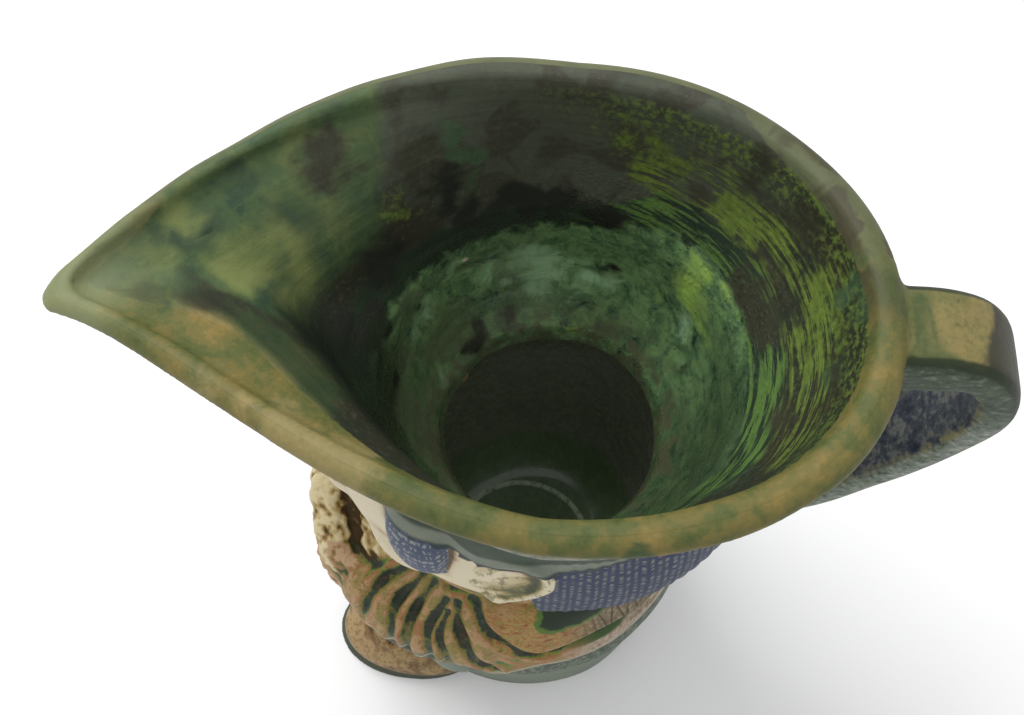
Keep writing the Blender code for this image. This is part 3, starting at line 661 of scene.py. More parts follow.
# Where glazes ran together, and patches of painted shade: x, y, z, radius, strength, one list to a glaze or to
# the shade
WASHES_AND_SHADE = {
    "lime": (
        (-30.9, 37.4, 172.1, 10, 1), (-22.6, 41.6, 163.7, 9, 0.7), (-36, 30, 160, 8, 0.5),
        (-33.7, 1, 135.6, 5, 0.8), (-36, 7.1, 139.2, 5, 0.7), (-56.1, 12.8, 208.6, 7, 0.8),
        (-53.3, 21.5, 204.4, 7, 0.9), (-50.4, 29.6, 204.8, 6, 0.7), (-47.1, 24.7, 189.9, 6, 0.7),
        (-42.2, 34.4, 191, 7, 0.8), (-36.7, 46.8, 198.7, 9, 1), (-27.5, 56.5, 202.2, 8, 0.9),
        (-21.9, 46.8, 183.8, 7, 0.7), (-37.6, 57, 223.7, 5, 0.8), (-30.3, 62.1, 221.9, 7, 1),
        (-13.3, 65.2, 207.3, 9, 1), (-2.2, 63.8, 201.1, 9, 0.9), (-0.5, 68.7, 210.7, 8, 0.8),
        (-34.1, -46.1, 200.1, 7, 0.9), (-46, -36, 203, 5, 0.5), (20, 62, 212, 9, 0.5)),
    "green": (
        (-50.7, -32.5, 210.4, 6, 1), (-51.9, -35.1, 214.9, 5, 0.8), (-48.9, -29.9, 204.3, 6, 1),
        (-46.8, -27.2, 196, 5, 0.8), (-45.4, -24.5, 188.6, 5, 0.7), (-26.4, -82.1, 215.8, 7, 0.9),
        (-15.7, -91.7, 214.7, 7, 0.8), (-19.6, -69.6, 206.9, 9, 1), (-8.3, -99.3, 213.7, 8, 0.8),
        (-45.2, -62.2, 222.4, 6, 0.8), (-45.3, -67.2, 223.8, 5, 0.6), (-30.3, -56.9, 206.5, 7, 0.8),
        (-30.3, 62.1, 219, 5, 0.6), (-6.1, 70, 215.9, 7, 0.8), (8.8, 66.8, 207.1, 8, 0.7),
        (29.3, 40, 178.9, 10, 0.7), (30.9, 47.7, 192.5, 9, 0.6), (65, 24, 224, 5, 1),
        (26, -75, 222, 7, 0.6), (58, -18, 225, 6, 0.6), (64, 45, 224, 9, 0.4), (0, 84, 222, 7, 0.9),
        (-6, 92, 223, 6, 0.6), (12, 88, 220, 7, 0.9), (4, 106, 221, 4, 0.5), (-4, 76, 226, 7, 0.6)),
    "olive": (
        (-1.4, -99.4, 212.1, 6, 0.8), (-9, -82.9, 208.6, 8, 1), (-8.9, -68.1, 197.3, 10, 1),
        (-14.9, -70.5, 204.6, 9, 0.9), (-17.7, -97.7, 217.7, 6, 0.9), (-36, -72, 221, 7, 0.5),
        (-4, -118, 218, 6, 0.8), (-25, -75, 211, 5, 0.5), (9.7, -91.4, 213.8, 6, 0.8),
        (21.3, -65.1, 213, 7, 0.9), (30.4, -56.1, 214.6, 7, 0.8)),
    "pale": (
        (48, -48, 224, 13, 1), (40, -60, 224, 10, 1), (-44.5, -6.7, 156.9, 10, 0.9),
        (-42.8, 12.1, 153.5, 8, 0.8), (-40.3, -21.7, 158.8, 8, 0.7), (-36.7, -28.6, 168.5, 3.4, 1),
        (-28.1, 36.4, 158.8, 6, 0.7), (-32.4, -35.5, 170.1, 6, 0.5), (-21.3, -40.8, 158.9, 7, 0.6),
        (-12.7, -43, 155.7, 5, 0.5), (-44, 6, 166, 7, 0.6), (46, -62, 221, 11, 0.9), (34, -80, 221, 9, 0.7),
        (56, -42, 223, 9, 0.7), (-4, -122, 217, 6, 0.8), (4, 95, 222, 8, 1), (-2, 99, 222, 7, 0.9),
        (6, 98, 221, 6, 0.8)),
    # Near-black patches inside the hat and head, under the rim: painted shade
    "soot": (
        (-49.7, -2, 184.1, 8, 1), (-48.4, 9.8, 180.9, 8, 0.9), (-48.2, -13.3, 183.4, 8, 1),
        (-43, -27.2, 185.8, 8, 1), (-41.1, -35, 194.6, 7, 1), (-44.3, -31.9, 197, 5, 0.8),
        (-42, 20, 186, 7, 0.7), (14.3, -53.5, 190.4, 13, 1), (22, -48, 192, 12, 0.8),
        (-5, -55.9, 181.2, 9, 0.9), (-21.8, -51.4, 185.7, 9, 1), (-29, -46.3, 188, 6, 0.8),
        (-9.1, -49.5, 174.3, 8, 1), (0.4, -44, 160, 9, 0.7), (-28.2, -38.2, 165.2, 3, 0.7),
        (-31.3, -31.6, 154.6, 3, 0.8), (-43.2, 17.7, 159.7, 2.6, 0.9), (-36.8, 24.7, 153.5, 3, 0.7),
        (-33.4, 13.7, 138.3, 3, 0.7), (-24.2, -26.8, 139, 5, 0.8), (-15.2, 40.6, 151.8, 4, 0.7),
        (-46, -30, 172, 5, 0.7), (-47.5, 8, 172, 3, 0.6), (-30, 34, 150, 3, 0.7)),
    "umber": (
        (-36.7, -62, 214.9, 8, 1), (-37.1, -69.4, 217.7, 6, 0.8), (-44.9, -40, 208.5, 8, 1),
        (-41.4, -35, 197, 7, 0.7), (-43.9, -45, 211.4, 6, 0.7), (-46.1, -57.5, 219.8, 5, 0.6),
        (-15.9, 53.6, 190.1, 9, 1), (-24.5, 50.9, 191, 8, 0.8), (-10.1, 54.9, 190, 8, 0.9),
        (16.7, 58.3, 196, 9, 0.8), (20, 60.7, 201.2, 7, 0.5), (-42.9, 50, 214, 9, 0.8),
        (-28.2, 58.2, 212, 7, 0.8), (13.2, -97.6, 215.3, 4.5, 1), (-24.2, -26.8, 141, 6, 0.9),
        (-37, -5.8, 141.9, 5, 0.6), (-32.9, -16.5, 141, 5, 0.7), (2, 104.5, 219, 6, 1),
        (-6, 104, 219, 5, 1), (10, 104, 217, 5, 1)),
    "rust": (
        (50, 6, 118, 16, 1), (56, -4, 112, 12, 0.8), (60, -12, 118, 8, 0.6), (56, 16, 110, 12, 0.7),
        (66, -20, 222, 12, 0.6), (62, 20, 221, 14, 0.5), (44, 56, 223, 12, 0.4), (40, -70, 218, 10, 0.6),
        (-9, -82, 209, 5, 0.6), (22, -66, 214, 6, 0.5)),
    "comb": (
        (-36.7, 46.8, 198.7, 10, 1), (-27.5, 56.5, 202.2, 9, 1), (-42.2, 34.4, 191, 7, 1),
        (-21.9, 46.8, 183.8, 8, 1), (-13.3, 65.2, 207.3, 10, 0.9), (-2.2, 63.8, 201.1, 10, 0.9),
        (12, 64, 205, 10, 0.7), (-44, 40, 206, 10, 0.6), (-50, 24, 200, 9, 0.6), (24, 58, 206, 12, 0.6)),
}


def read(rows, name, count, kind=np.float32):
    """One property of all the mesh's vertices or edges, a row to each."""
    values = np.empty(count * len(rows), kind)
    rows.foreach_get(name, values)
    return values.reshape(-1, count)


def coordinates(mesh):
    return read(mesh.vertices, "co", 3).astype(float)


def normals_of(mesh):
    return read(mesh.vertex_normals, "vector", 3).astype(float)


def edges_of(mesh):
    return read(mesh.edges, "vertices", 2, np.int32)


def line_distance(points, line, reach=9):
    """How far each point lies from a smooth line; anything further than reach counts as that far."""
    run = eased(line, 6)
    far = np.full(len(points), float(reach))
    near = np.all((points > run.min(0) - reach) & (points < run.max(0) + reach), axis=1)
    close = points[near]
    best = far[near]
    for start, end in zip(run, run[1:]):
        along = end - start
        share = np.clip((close - start) @ along / (along @ along), 0, 1)
        best = np.minimum(best, np.linalg.norm(close - start - share[:, None] * along, axis=1))
    far[near] = best
    return far


def lines_distance(points, lines):
    """The distance to the nearest of these lines or of their mirror images."""
    best = np.full(len(points), 9.0)
    for line in lines:
        for side in (line, [mirrored(point) for point in line]):
            best = np.minimum(best, line_distance(points, side))
    return best


def wandered(points):
    """The points moved a little to and fro, so that round patches come out ragged."""
    moved = points.copy()
    for turn, (size, height) in enumerate(((3.6, 2.6), (1.7, 1.5), (0.8, 0.7))):
        waves = points @ np.array(((0.9, 0.5, -0.3), (-0.4, 0.8, 0.6), (0.5, -0.6, 0.9))) / size
        moved += height * np.sin(waves + (turn, 2 * turn, 1.3 * turn))
    return moved


def blob_field(points, blobs):
    total = np.zeros(len(points))
    for *centre, radius, strength in blobs:
        away = np.linalg.norm(points - np.array(centre), axis=1) / radius
        total = np.maximum(total, strength * np.exp(-away ** 2 * 0.9))
    return total


def mesh_distance(points, mesh, reach):
    """Distance from each point to a form's surface, up to reach."""
    build = bmesh.new()
    build.from_mesh(mesh)
    tree = BVHTree.FromBMesh(build)
    build.free()
    far = np.full(len(points), float(reach))
    low = np.array([min(vert.co[axis] for vert in mesh.vertices) for axis in range(3)]) - reach
    high = np.array([max(vert.co[axis] for vert in mesh.vertices) for axis in range(3)]) + reach
    for index in np.nonzero(np.all((points > low) & (points < high), axis=1))[0]:
        found = tree.find_nearest(points[index], reach)
        if found[3] is not None:
            far[index] = found[3]
    return far


def ripple(points, *waves):
    """A soft hand-made unevenness from a few long waves."""
    total = np.zeros(len(points))
    for x, y, z, phase, height in waves:
        total += height * np.sin(points @ np.array((x, y, z)) + phase)
    return total


# Carving, millimetres: folds, rings left by the throwing, combed hair
FOLD_DEPTH = 1.6
FOLD_WIDTH = 1.7
RIDGE_HEIGHT = 0.5
RIDGE_AWAY = 3.2
RIDGE_WIDTH = 1.4
RING_PITCH = 5.2
FINE_RING_PITCH = 3.1
RING_DEPTH = 0.07
FINE_RING_DEPTH = 0.05
COMB_PITCH = 1.9
COMB_DEPTH = 0.16

# How far inside the jug's box the carved mesh stays, except at the foot, which the table cuts flat
BOX_MARGIN = 0.01


def crumbled(place):
    """Height of the bundle's broken surface at a place."""
    return noise.noise(place / 6) * 1.5 + noise.noise(place / 2.6) * 1.1 + noise.noise(place / 1.3) * 0.4


def carve(target, bore):
    """Pushes the fine mesh in and out along its normals: folds, throwing rings, lumps, hair and crumbs."""
    mesh = target.data
    points = coordinates(mesh)
    inside = np.exp(-(mesh_distance(points, bore, 2.5) / 1.2) ** 2)
    outside = 1 - inside
    x, y, z = points.T
    fold = lines_distance(points, FOLDS)
    push = outside * (-FOLD_DEPTH * np.exp(-(fold / FOLD_WIDTH) ** 2)
                      + RIDGE_HEIGHT * np.exp(-((fold - RIDGE_AWAY) / RIDGE_WIDTH) ** 2))
    turn = np.arctan2(y, x)
    throwing = np.sin(2 * math.pi * z / RING_PITCH + 0.7 * np.sin(turn * 2)) * np.clip((192 - z) / 12, 0, 1)
    push += inside * RING_DEPTH * throwing * np.clip((z - 112) / 14, 0, 1)
    brushing = np.sin(2 * math.pi * z / FINE_RING_PITCH + np.sin(turn * 3))
    push += inside * FINE_RING_DEPTH * brushing * np.clip((z - 188) / 8, 0, 1)
    for *centre, radius, height in LUMPS:
        away = np.linalg.norm(points - np.array(centre), axis=1) / radius
        push += inside * height * np.exp(-away ** 2 * 1.4)
    low_back = (y > 6) & (z > 136) & (z < 186) & (np.hypot(x, y) < 68)
    comb = np.sin(np.arctan2(y + 4, x) * BODY_RADIUS / COMB_PITCH * math.pi + 1.5 * np.sin(z * 0.12))
    push += outside * np.where(low_back, COMB_DEPTH * comb, 0)
    push += ripple(points, (0.11, 0.07, 0.05, 0.4, 0.16), (-0.06, 0.13, 0.08, 1.9, 0.14),
                   (0.21, -0.17, 0.12, 2.6, 0.08))
    bundle_near = np.exp(-((x / 46) ** 6 + ((y + 64) / 16) ** 6 + ((z - 99) / 24) ** 6))
    for index in np.nonzero(outside * bundle_near > 0.05)[0]:
        push[index] += outside[index] * bundle_near[index] * (crumbled(Vector(points[index])) - 0.1)
    moved = points + normals_of(mesh) * push[:, None]
    tip = np.clip((-y - 84) / 14, 0, 1) * inside * (z < 222)
    moved += tip[:, None] * (smoothed(moved, edges_of(mesh), 8) - moved)
    margin = np.array((BOX_MARGIN, BOX_MARGIN, 0))
    moved = np.clip(moved, np.array(cad_low) / UNIT + margin, np.array(cad_high) / UNIT - BOX_MARGIN)
    mesh.vertices.foreach_set("co", moved.astype(np.float32).ravel())
    mesh.update()


def smoothed(points, edges, rounds):
    start, end = edges.T
    count = np.bincount(start, minlength=len(points)) + np.bincount(end, minlength=len(points))
    for _ in range(rounds):
        fresh = np.empty_like(points)
        for axis in range(3):
            fresh[:, axis] = (np.bincount(start, points[end, axis], len(points))
                              + np.bincount(end, points[start, axis], len(points))) / np.maximum(count, 1)
        points = points + 0.7 * (fresh - points)
    return points


# Blur of the line between two forms and width of the dark stain in a fold, millimetres
FORM_BLUR = 1.3
FOLD_STAIN = 2.9

# Fields that the mesh carries for the glaze, three to a row
FIELDS = {
    "cloth": ("coat", "sleeve", "leg"),
    "wear": ("shoe", "sole", "bundle"),
    "flesh": ("skin", "hand", "ear"),
    "locks": ("hair", "sideburn", "brow"),
    "ware": ("hat", "handle", "bore"),
    "relief": ("fine", "broad", "fold"),
    "wash_green": ("lime", "green", "pale"),
    "dark_washes_and_shade": ("soot", "umber", "comb"),
    "wash_warm": ("rust", "olive", "crease"),
    "run": ("sunk", "outer", "side"),
}


def write_fields(mesh, name, values):
    layer = mesh.attributes.new(name, "FLOAT_VECTOR", "POINT")
    layer.data.foreach_set("vector", np.stack(values, 1).astype(np.float32).ravel())


def form_fields(points, normals, meshes, sunk):
    """Which form each point belongs to; where two glazes met, the line between them is drawn one by one."""
    x, y, z = points.T
    form = {}
    for name, mesh in meshes.items():
        form[name] = np.exp(-(mesh_distance(points, mesh, 4) / FORM_BLUR) ** 2)
    behind = np.clip((y - 1) / 2, 0, 1) * (z > 134)
    form["hair"] = np.maximum(form["hair"], form["skin"] * behind)
    form["skin"] = form["skin"] * (1 - behind)
    far = np.clip((-x - 10) / 16, 0, 1) * (sunk < 11)
    form["bore"] = np.maximum(form["bore"], far * np.clip((normals[:, 0] - 0.32) / 0.35, 0, 1))
    brow_line = 176 + 10 * np.clip((-14 - y) / 14, 0, 1)
    under_hat = np.clip((z - brow_line) / 1.5, 0, 1) * (y > -50) * (1 - form["handle"])
    form["hat"] = np.maximum(form["hat"], under_hat)
    shell = np.linalg.norm((np.abs(x), y, z) - np.array(((58,), (-4,), (166,))), axis=0)
    form["ear"] = np.maximum(form["ear"], np.exp(-(shell / 9) ** 4))
    chest = (y < -44) & (z > 92) & (z < 128) & (np.abs(x) < 41)
    form["bundle"] = np.maximum(form["bundle"], form["coat"] * chest)
    return form


def paint_fields(target, meshes):
    """Writes, at each point of the mesh, which form it belongs to, where each glaze pooled and where shade is
    painted.
    """
    mesh = target.data
    points = coordinates(mesh)
    normals = normals_of(mesh)
    x, y, z = points.T
    soft = smoothed(points, edges_of(mesh), 8)
    softer = smoothed(soft, edges_of(mesh), 50)
    ragged = wandered(points)
    sunk = GRID_HEIGHT - SPOUT_DROOP * np.clip(-y / SPOUT_REACH, 0, 1) ** 2 - z
    crease_width = 4.4 + 3.6 * np.clip((y + 95) / 25, 0, 1)
    fields = form_fields(points, normals, meshes, sunk)
    fields.update({name: blob_field(ragged, blobs) for name, blobs in WASHES_AND_SHADE.items()})
    fields["fine"] = np.clip(0.5 + np.einsum("ij,ij->i", points - soft, normals) / 0.5, 0, 1)
    fields["broad"] = np.clip(0.5 + np.einsum("ij,ij->i", points - softer, normals) / 2.4, 0, 1)
    fields["fold"] = np.exp(-(lines_distance(ragged, FOLDS) / FOLD_STAIN) ** 2)
    fields["crease"] = np.exp(-(line_distance(ragged, CREASE) / crease_width) ** 2)
    fields["sunk"] = sunk
    fields["outer"] = np.clip(0.5 + 0.4 * normals[:, 1] + 0.5 * normals[:, 2], 0, 1)
    fields["side"] = np.abs(normals[:, 0])
    write_fields(mesh, "spot", (x, y, z))
    for row, names in FIELDS.items():
        write_fields(mesh, row, [fields[name] for name in names])


# Places of the colour sockets in a mix node, whose names repeat
MIX_FACTOR, MIX_FIRST, MIX_SECOND, MIX_RESULT = 0, 6, 7, 2

# Pitch of the strokes on the shoulder band and of the combed rows of hair, millimetres; depth of bumps, metres
STROKE_PITCH = 3.1
LOCK_PITCH = 2.1
BUMP_DEPTH = 0.0006

# Glaze colours, and the colours of painted shade and painted light, linear
PAINTED_SHADE_BLACK = (0.018, 0.02, 0.016)
CHARCOAL = (0.024, 0.029, 0.018)
PAINTED_LIGHT_ASH = (0.064, 0.074, 0.05)
UMBER = (0.036, 0.028, 0.018)
BOTTLE = (0.03, 0.06, 0.032)
SEA = (0.09, 0.17, 0.075)
MILK = (0.35, 0.56, 0.32)
AMBER = (0.27, 0.15, 0.036)
CHALK = (0.24, 0.26, 0.22)
CREAM = (0.62, 0.55, 0.39)


def wire(value, socket):
    """Joins a field to a node's socket, or sets the socket to a number or a colour."""
    if isinstance(value, Field):
        value.tree.links.new(value.socket, socket)
    elif socket.type == "RGBA":
        socket.default_value = (*value, 1)
    else:
        socket.default_value = value


class Field:
    """A value or a colour of the material; each sum or mix of fields adds a node to the tree."""

    def __init__(self, tree, socket):
        self.tree = tree
        self.socket = socket

    def math(self, operation, other=0.0):
        node = self.tree.nodes.new("ShaderNodeMath")
        node.operation = operation
        wire(self, node.inputs[0])
        wire(other, node.inputs[1])
        return Field(self.tree, node.outputs[0])

    def __add__(self, other):
        return self.math("ADD", other)

    def __sub__(self, other):
        return self.math("SUBTRACT", other)

    def __mul__(self, other):
        return self.math("MULTIPLY", other)

    def __truediv__(self, other):
        return self.math("DIVIDE", other)

    def __abs__(self):
        return self.math("ABSOLUTE")

    def step(self, low, high, start=0.0, end=1.0):
        """A soft step; it may also run from a high bound down to a low one."""
        node = self.tree.nodes.new("ShaderNodeMapRange")
        node.interpolation_type = "SMOOTHSTEP"
        node.clamp = False
        wire(self, node.inputs["Value"])
        for socket, number in zip(("From Min", "From Max", "To Min", "To Max"), (low, high, start, end)):
            node.inputs[socket].default_value = number
        return Field(self.tree, node.outputs["Result"])

    def ramp(self, *stops):
        node = self.tree.nodes.new("ShaderNodeValToRGB")
        node.color_ramp.interpolation = "EASE"
        elements = node.color_ramp.elements
        while len(elements) < len(stops):
            elements.new(0.5)
        for element, (position, colour) in zip(elements, stops):
            element.position = position
            element.color = (*colour, 1)
        wire(self, node.inputs["Fac"])
        return Field(self.tree, node.outputs["Color"])

    def between(self, first, second):
        """The first colour where this field is 0, the second where it is 1."""
        node = self.tree.nodes.new("ShaderNodeMix")
        node.data_type = "RGBA"
        wire(self, node.inputs[MIX_FACTOR])
        wire(first, node.inputs[MIX_FIRST])
        wire(second, node.inputs[MIX_SECOND])
        return Field(self.tree, node.outputs[MIX_RESULT])

    def coated(self, share, colour):
        return share.between(self, colour)

    def random(self):
        """A random number for each whole value of this field."""
        node = self.tree.nodes.new("ShaderNodeTexWhiteNoise")
        node.noise_dimensions = "1D"
        wire(self, node.inputs["W"])
        return Field(self.tree, node.outputs["Value"])


class Glaze:
    """The material, its noises and the fields that the mesh carries."""

    def __init__(self, name):
        self.material = bpy.data.materials.new(name)
        self.material.use_nodes = True
        self.tree = self.material.node_tree
        self.shader = self.tree.nodes["Principled BSDF"]
        place = self.tree.nodes.new("ShaderNodeTexCoord").outputs["Object"]
        self.place = self.scaled(Field(self.tree, place), (1 / UNIT, 1 / UNIT, 1 / UNIT))
        self.x, self.y, self.z = self.parts("spot")
        self.turn = self.x.math("ARCTAN2", self.y + MANTLE_FORWARD) * BODY_RADIUS
        self.cloud = self.noise(15, 3, 0.5, twist=0.8)
        self.mottle = self.noise(6, 5, 0.6, twist=0.4)
        self.speck = self.noise(1.7, 4, 0.65)
        self.grain = self.noise(0.6, 2)
        self.streak = self.noise(1.15, 4, 0.6, stretch=(0.08, 0.08, 1))
        for row, names in FIELDS.items():
            for field, part in zip(names, self.parts(row)):
                setattr(self, field, part)

    def scaled(self, place, sizes):
        node = self.tree.nodes.new("ShaderNodeMapping")
        wire(place, node.inputs["Vector"])
        node.inputs["Scale"].default_value = sizes
        return Field(self.tree, node.outputs["Vector"])

    def parts(self, name):
        """The three numbers of one of the mesh's rows of fields."""
        node = self.tree.nodes.new("ShaderNodeAttribute")
        node.attribute_type = "GEOMETRY"
        node.attribute_name = name
        split = self.tree.nodes.new("ShaderNodeSeparateXYZ")
        wire(Field(self.tree, node.outputs["Vector"]), split.inputs[0])
        return [Field(self.tree, output) for output in split.outputs]

    def noise(self, size, detail=3, rough=0.55, stretch=(1, 1, 1), twist=0.0, along=None):
        """Noise whose features are about this many millimetres wide, in space or along one value."""
        node = self.tree.nodes.new("ShaderNodeTexNoise")
        node.inputs["Scale"].default_value = 1
        node.inputs["Detail"].default_value = detail
        node.inputs["Roughness"].default_value = rough
        node.inputs["Distortion"].default_value = twist
        if along:
            node.noise_dimensions = "1D"
            wire(along * (1 / size), node.inputs["W"])
        else:
            wire(self.scaled(self.place, tuple(part / size for part in stretch)), node.inputs["Vector"])
        return Field(self.tree, node.outputs["Fac"])

    def blend(self, *shares):
        """A weighted sum of fields, given as field and share in turn."""
        total = shares[0] * shares[1]
        for field, share in zip(shares[2::2], shares[3::2]):
            total += field * share
        return total

    def patch(self, field, low, high, amount=0.4, by=None):
        """Where a field is strong, with a ragged edge."""
        return (field + ((by or self.mottle) - 0.5) * amount).step(low, high)

    def relief(self, *stops, fine_share=0.5, broad_share=0.5, by=0.4, less=0.0):
        """Colours from deep hollows up to worn ridges; the dark in the hollows is pooled glaze and also
        painted shade.
        """
        value = self.blend(self.fine, fine_share, self.broad, broad_share)
        value += self.mottle * by
        value += self.speck * (by * 0.7)
        return (value - 0.85 * by - less).ramp(*stops)


def body_layer(g):
    """Below the mantle: dark grey-green, wiped paler on the swells."""
    body = g.relief((0.25, (0.016, 0.026, 0.016)), (0.42, (0.034, 0.05, 0.032)), (0.56, (0.06, 0.085, 0.055)),
                    (0.76, (0.15, 0.18, 0.135)), by=0.7)
    return body.coated(g.z.step(60, 76) * g.speck.step(0.35, 0.6), (0.045, 0.065, 0.042))


def band_layer(g, behind):
    """The shoulder band behind, with upright strokes that are no letters, and a rose band below it."""
    band = g.speck.step(0.42, 0.62).between((0.15, 0.115, 0.065), (0.26, 0.215, 0.14))
    band = band.coated(g.z.step(104.5, 103.5), (0.05, 0.095, 0.03))
    rose = g.speck.ramp((0.35, (0.22, 0.15, 0.1)), (0.6, (0.4, 0.33, 0.25)))
    band = band.coated(g.z.step(102, 101), rose)
    cell = g.turn / STROKE_PITCH
    chance = cell.math("FLOOR").random()
    lean = (chance - 0.5) * 0.16
    within = cell.math("FRACT") - 0.5
    upright = abs(within + lean * (g.z - 110.5))
    beside = abs(abs(within - 0.22) + lean * (g.z - 108))
    second = beside.step(0.1, 0.05) * chance.step(0.4, 0.5)
    row = g.z.step(105.2, 106.2) * g.z.step(115.8, 114.8)
    g.strokes = upright.step(0.14, 0.06).math("MAXIMUM", second) * row * behind * g.coat.step(0.4, 0.6)
    return band.coated(g.strokes * 0.75, (0.06, 0.04, 0.025))


def cloth_layer(g):
    """Dark folds edged in bright green, orange-brown swells, piping and hem; the body shows below the hem."""
    thread = g.noise(1, 3, 0.6, stretch=(0.9, 0.35, 0.9), twist=0.5)
    cloth = g.relief((0.04, (0.026, 0.038, 0.026)), (0.18, (0.05, 0.07, 0.034)), (0.29, (0.065, 0.14, 0.02)),
                     (0.39, (0.16, 0.2, 0.034)), (0.48, (0.24, 0.165, 0.044)), (0.6, (0.29, 0.135, 0.055)),
                     (0.8, (0.36, 0.23, 0.11)), less=g.fold * 0.42, by=0.6)
    ochre = g.speck.between((0.06, 0.11, 0.015), (0.3, 0.23, 0.06))
    cloth = cloth.coated(g.fold.step(0.5, 0.2) * g.mottle.step(0.46, 0.56) * 0.7, ochre)
    cloth = cloth.coated(g.speck.step(0.55, 0.66) * 0.5, (0.11, 0.05, 0.018))
    dome = g.blend(thread, 0.6, g.speck, 0.4).ramp((0.38, (0.2, 0.07, 0.025)), (0.48, (0.3, 0.155, 0.05)),
                                                   (0.56, (0.33, 0.24, 0.075)), (0.68, (0.22, 0.24, 0.07)))
    cloth = cloth.coated(g.patch(g.rust, 0.25, 0.6) * g.broad.step(0.35, 0.5), dome)
    cloth = cloth.coated(thread.step(0.55, 0.66) * 0.5, (0.16, 0.055, 0.025))
    behind = g.y.step(6, 22)
    cloth = cloth.coated(behind, band_layer(g, behind))
    shade = g.z.step(112.5, 119) * g.y.step(-4, 8) * g.y.step(34, 12)
    cloth = cloth.coated(g.patch(shade, 0.14, 0.3, 1.1), (0.08, 0.15, 0.026))
    cloth = cloth.coated(g.patch(shade, 0.4, 0.56, 1.1), (0.02, 0.034, 0.02))
    piping = abs(g.z - 94.5).step(1.2, 0.5).between((0.045, 0.075, 0.055), (0.36, 0.36, 0.27))
    edge = g.z.step(97.5, 96) * g.y.step(-24, -32) * g.sleeve.step(0.3, 0.6) * 0.85
    cloth = cloth.coated(edge, piping)
    drop = g.z - g.y.step(-14, 6, 82, 93)
    hem = drop.step(2, 1.2) * g.mottle.step(0.36, 0.5)
    cloth = cloth.coated(hem * 0.8, (0.36, 0.34, 0.27))
    return cloth.coated(drop.step(0.8, 0), body_layer(g))


def stocking_layer(g):
    return g.relief((0.3, (0.05, 0.07, 0.045)), (0.42, (0.15, 0.155, 0.095)), (0.55, (0.32, 0.29, 0.2)),
                    (0.75, (0.46, 0.42, 0.31)), by=0.5)


def leather_layer(g):
    leather = g.relief((0.25, (0.03, 0.025, 0.014)), (0.4, (0.1, 0.055, 0.02)), (0.52, (0.21, 0.105, 0.035)),
                       (0.64, (0.28, 0.16, 0.062)), (0.85, (0.33, 0.23, 0.11)), by=1)
    leather = leather.coated(g.speck.step(0.48, 0.6) * 0.55, (0.13, 0.062, 0.022))
    leather = leather.coated(g.cloud.step(0.46, 0.56) * g.mottle.step(0.42, 0.54) * 0.6, (0.1, 0.06, 0.026))
    return leather.coated(g.z.step(7, 3.5), (0.04, 0.045, 0.025))


def sole_layer(g):
    return g.speck.between((0.025, 0.032, 0.022), (0.09, 0.1, 0.065))


def parcel_layer(g):
    return g.relief((0.2, (0.05, 0.03, 0.01)), (0.36, (0.14, 0.085, 0.026)), (0.5, (0.27, 0.18, 0.062)),
                    (0.68, (0.42, 0.32, 0.14)), (0.95, (0.62, 0.53, 0.32)), by=0.8, fine_share=0.8,
                    broad_share=0.2)


def flesh_layer(g):
    flesh = g.relief((0.2, (0.1, 0.07, 0.035)), (0.34, (0.33, 0.24, 0.13)), (0.47, (0.54, 0.45, 0.29)),
                     (0.66, CREAM), by=0.24)
    flesh = flesh.coated(g.patch(g.rust, 0.2, 0.7) * 0.5, (0.48, 0.28, 0.16))
    return flesh.coated(g.speck.step(0.6, 0.7) * 0.35, (0.34, 0.22, 0.12))


def palm_layer(g):
    return g.relief((0.25, (0.045, 0.045, 0.018)), (0.38, (0.12, 0.14, 0.035)), (0.48, (0.24, 0.14, 0.05)),
                    (0.6, (0.3, 0.165, 0.07)), (0.8, (0.44, 0.3, 0.17)), by=0.5)


def lobe_layer(g):
    line = g.noise(1.6, 3, 0.6, stretch=(0.4, 1, 0.4), twist=0.4)
    lobe = g.relief((0.25, (0.045, 0.055, 0.022)), (0.42, (0.12, 0.12, 0.045)), (0.56, (0.3, 0.24, 0.1)),
                    (0.72, (0.48, 0.41, 0.24)), (0.92, CREAM), by=0.5)
    return lobe.coated(line.step(0.52, 0.62) * 0.6, (0.09, 0.085, 0.034))


def locks_layer(g):
    """Blue-black hair, combed in upright rows of short pale dashes."""
    cell = g.turn / LOCK_PITCH
    column = abs(cell.math("FRACT") - 0.5)
    dash = g.noise(2, 2, along=g.z + cell.math("FLOOR") * 37.3)
    g.combed = column.step(0.34, 0.12) * dash.step(0.44, 0.58)
    locks = g.speck.between((0.012, 0.018, 0.045), (0.036, 0.05, 0.11))
    fringe = abs(g.z - 138.2).step(1, 0.4)
    locks = locks.coated(fringe * 0.75, (0.34, 0.35, 0.28))
    return locks.coated(g.combed * 0.62, CHALK)


def whisker_layer(g):
    """Sideburns and brows: blue under short level dashes."""
    row = abs((g.z / LOCK_PITCH).math("FRACT") - 0.5)
    dash = g.noise(1.1, 2, 0.5, stretch=(1, 1, 0.2))
    dashes = row.step(0.4, 0.16) * dash.step(0.46, 0.58)
    blue = g.speck.between((0.04, 0.055, 0.1), (0.085, 0.105, 0.16))
    return blue.coated(dashes * 0.75, (0.3, 0.31, 0.28))


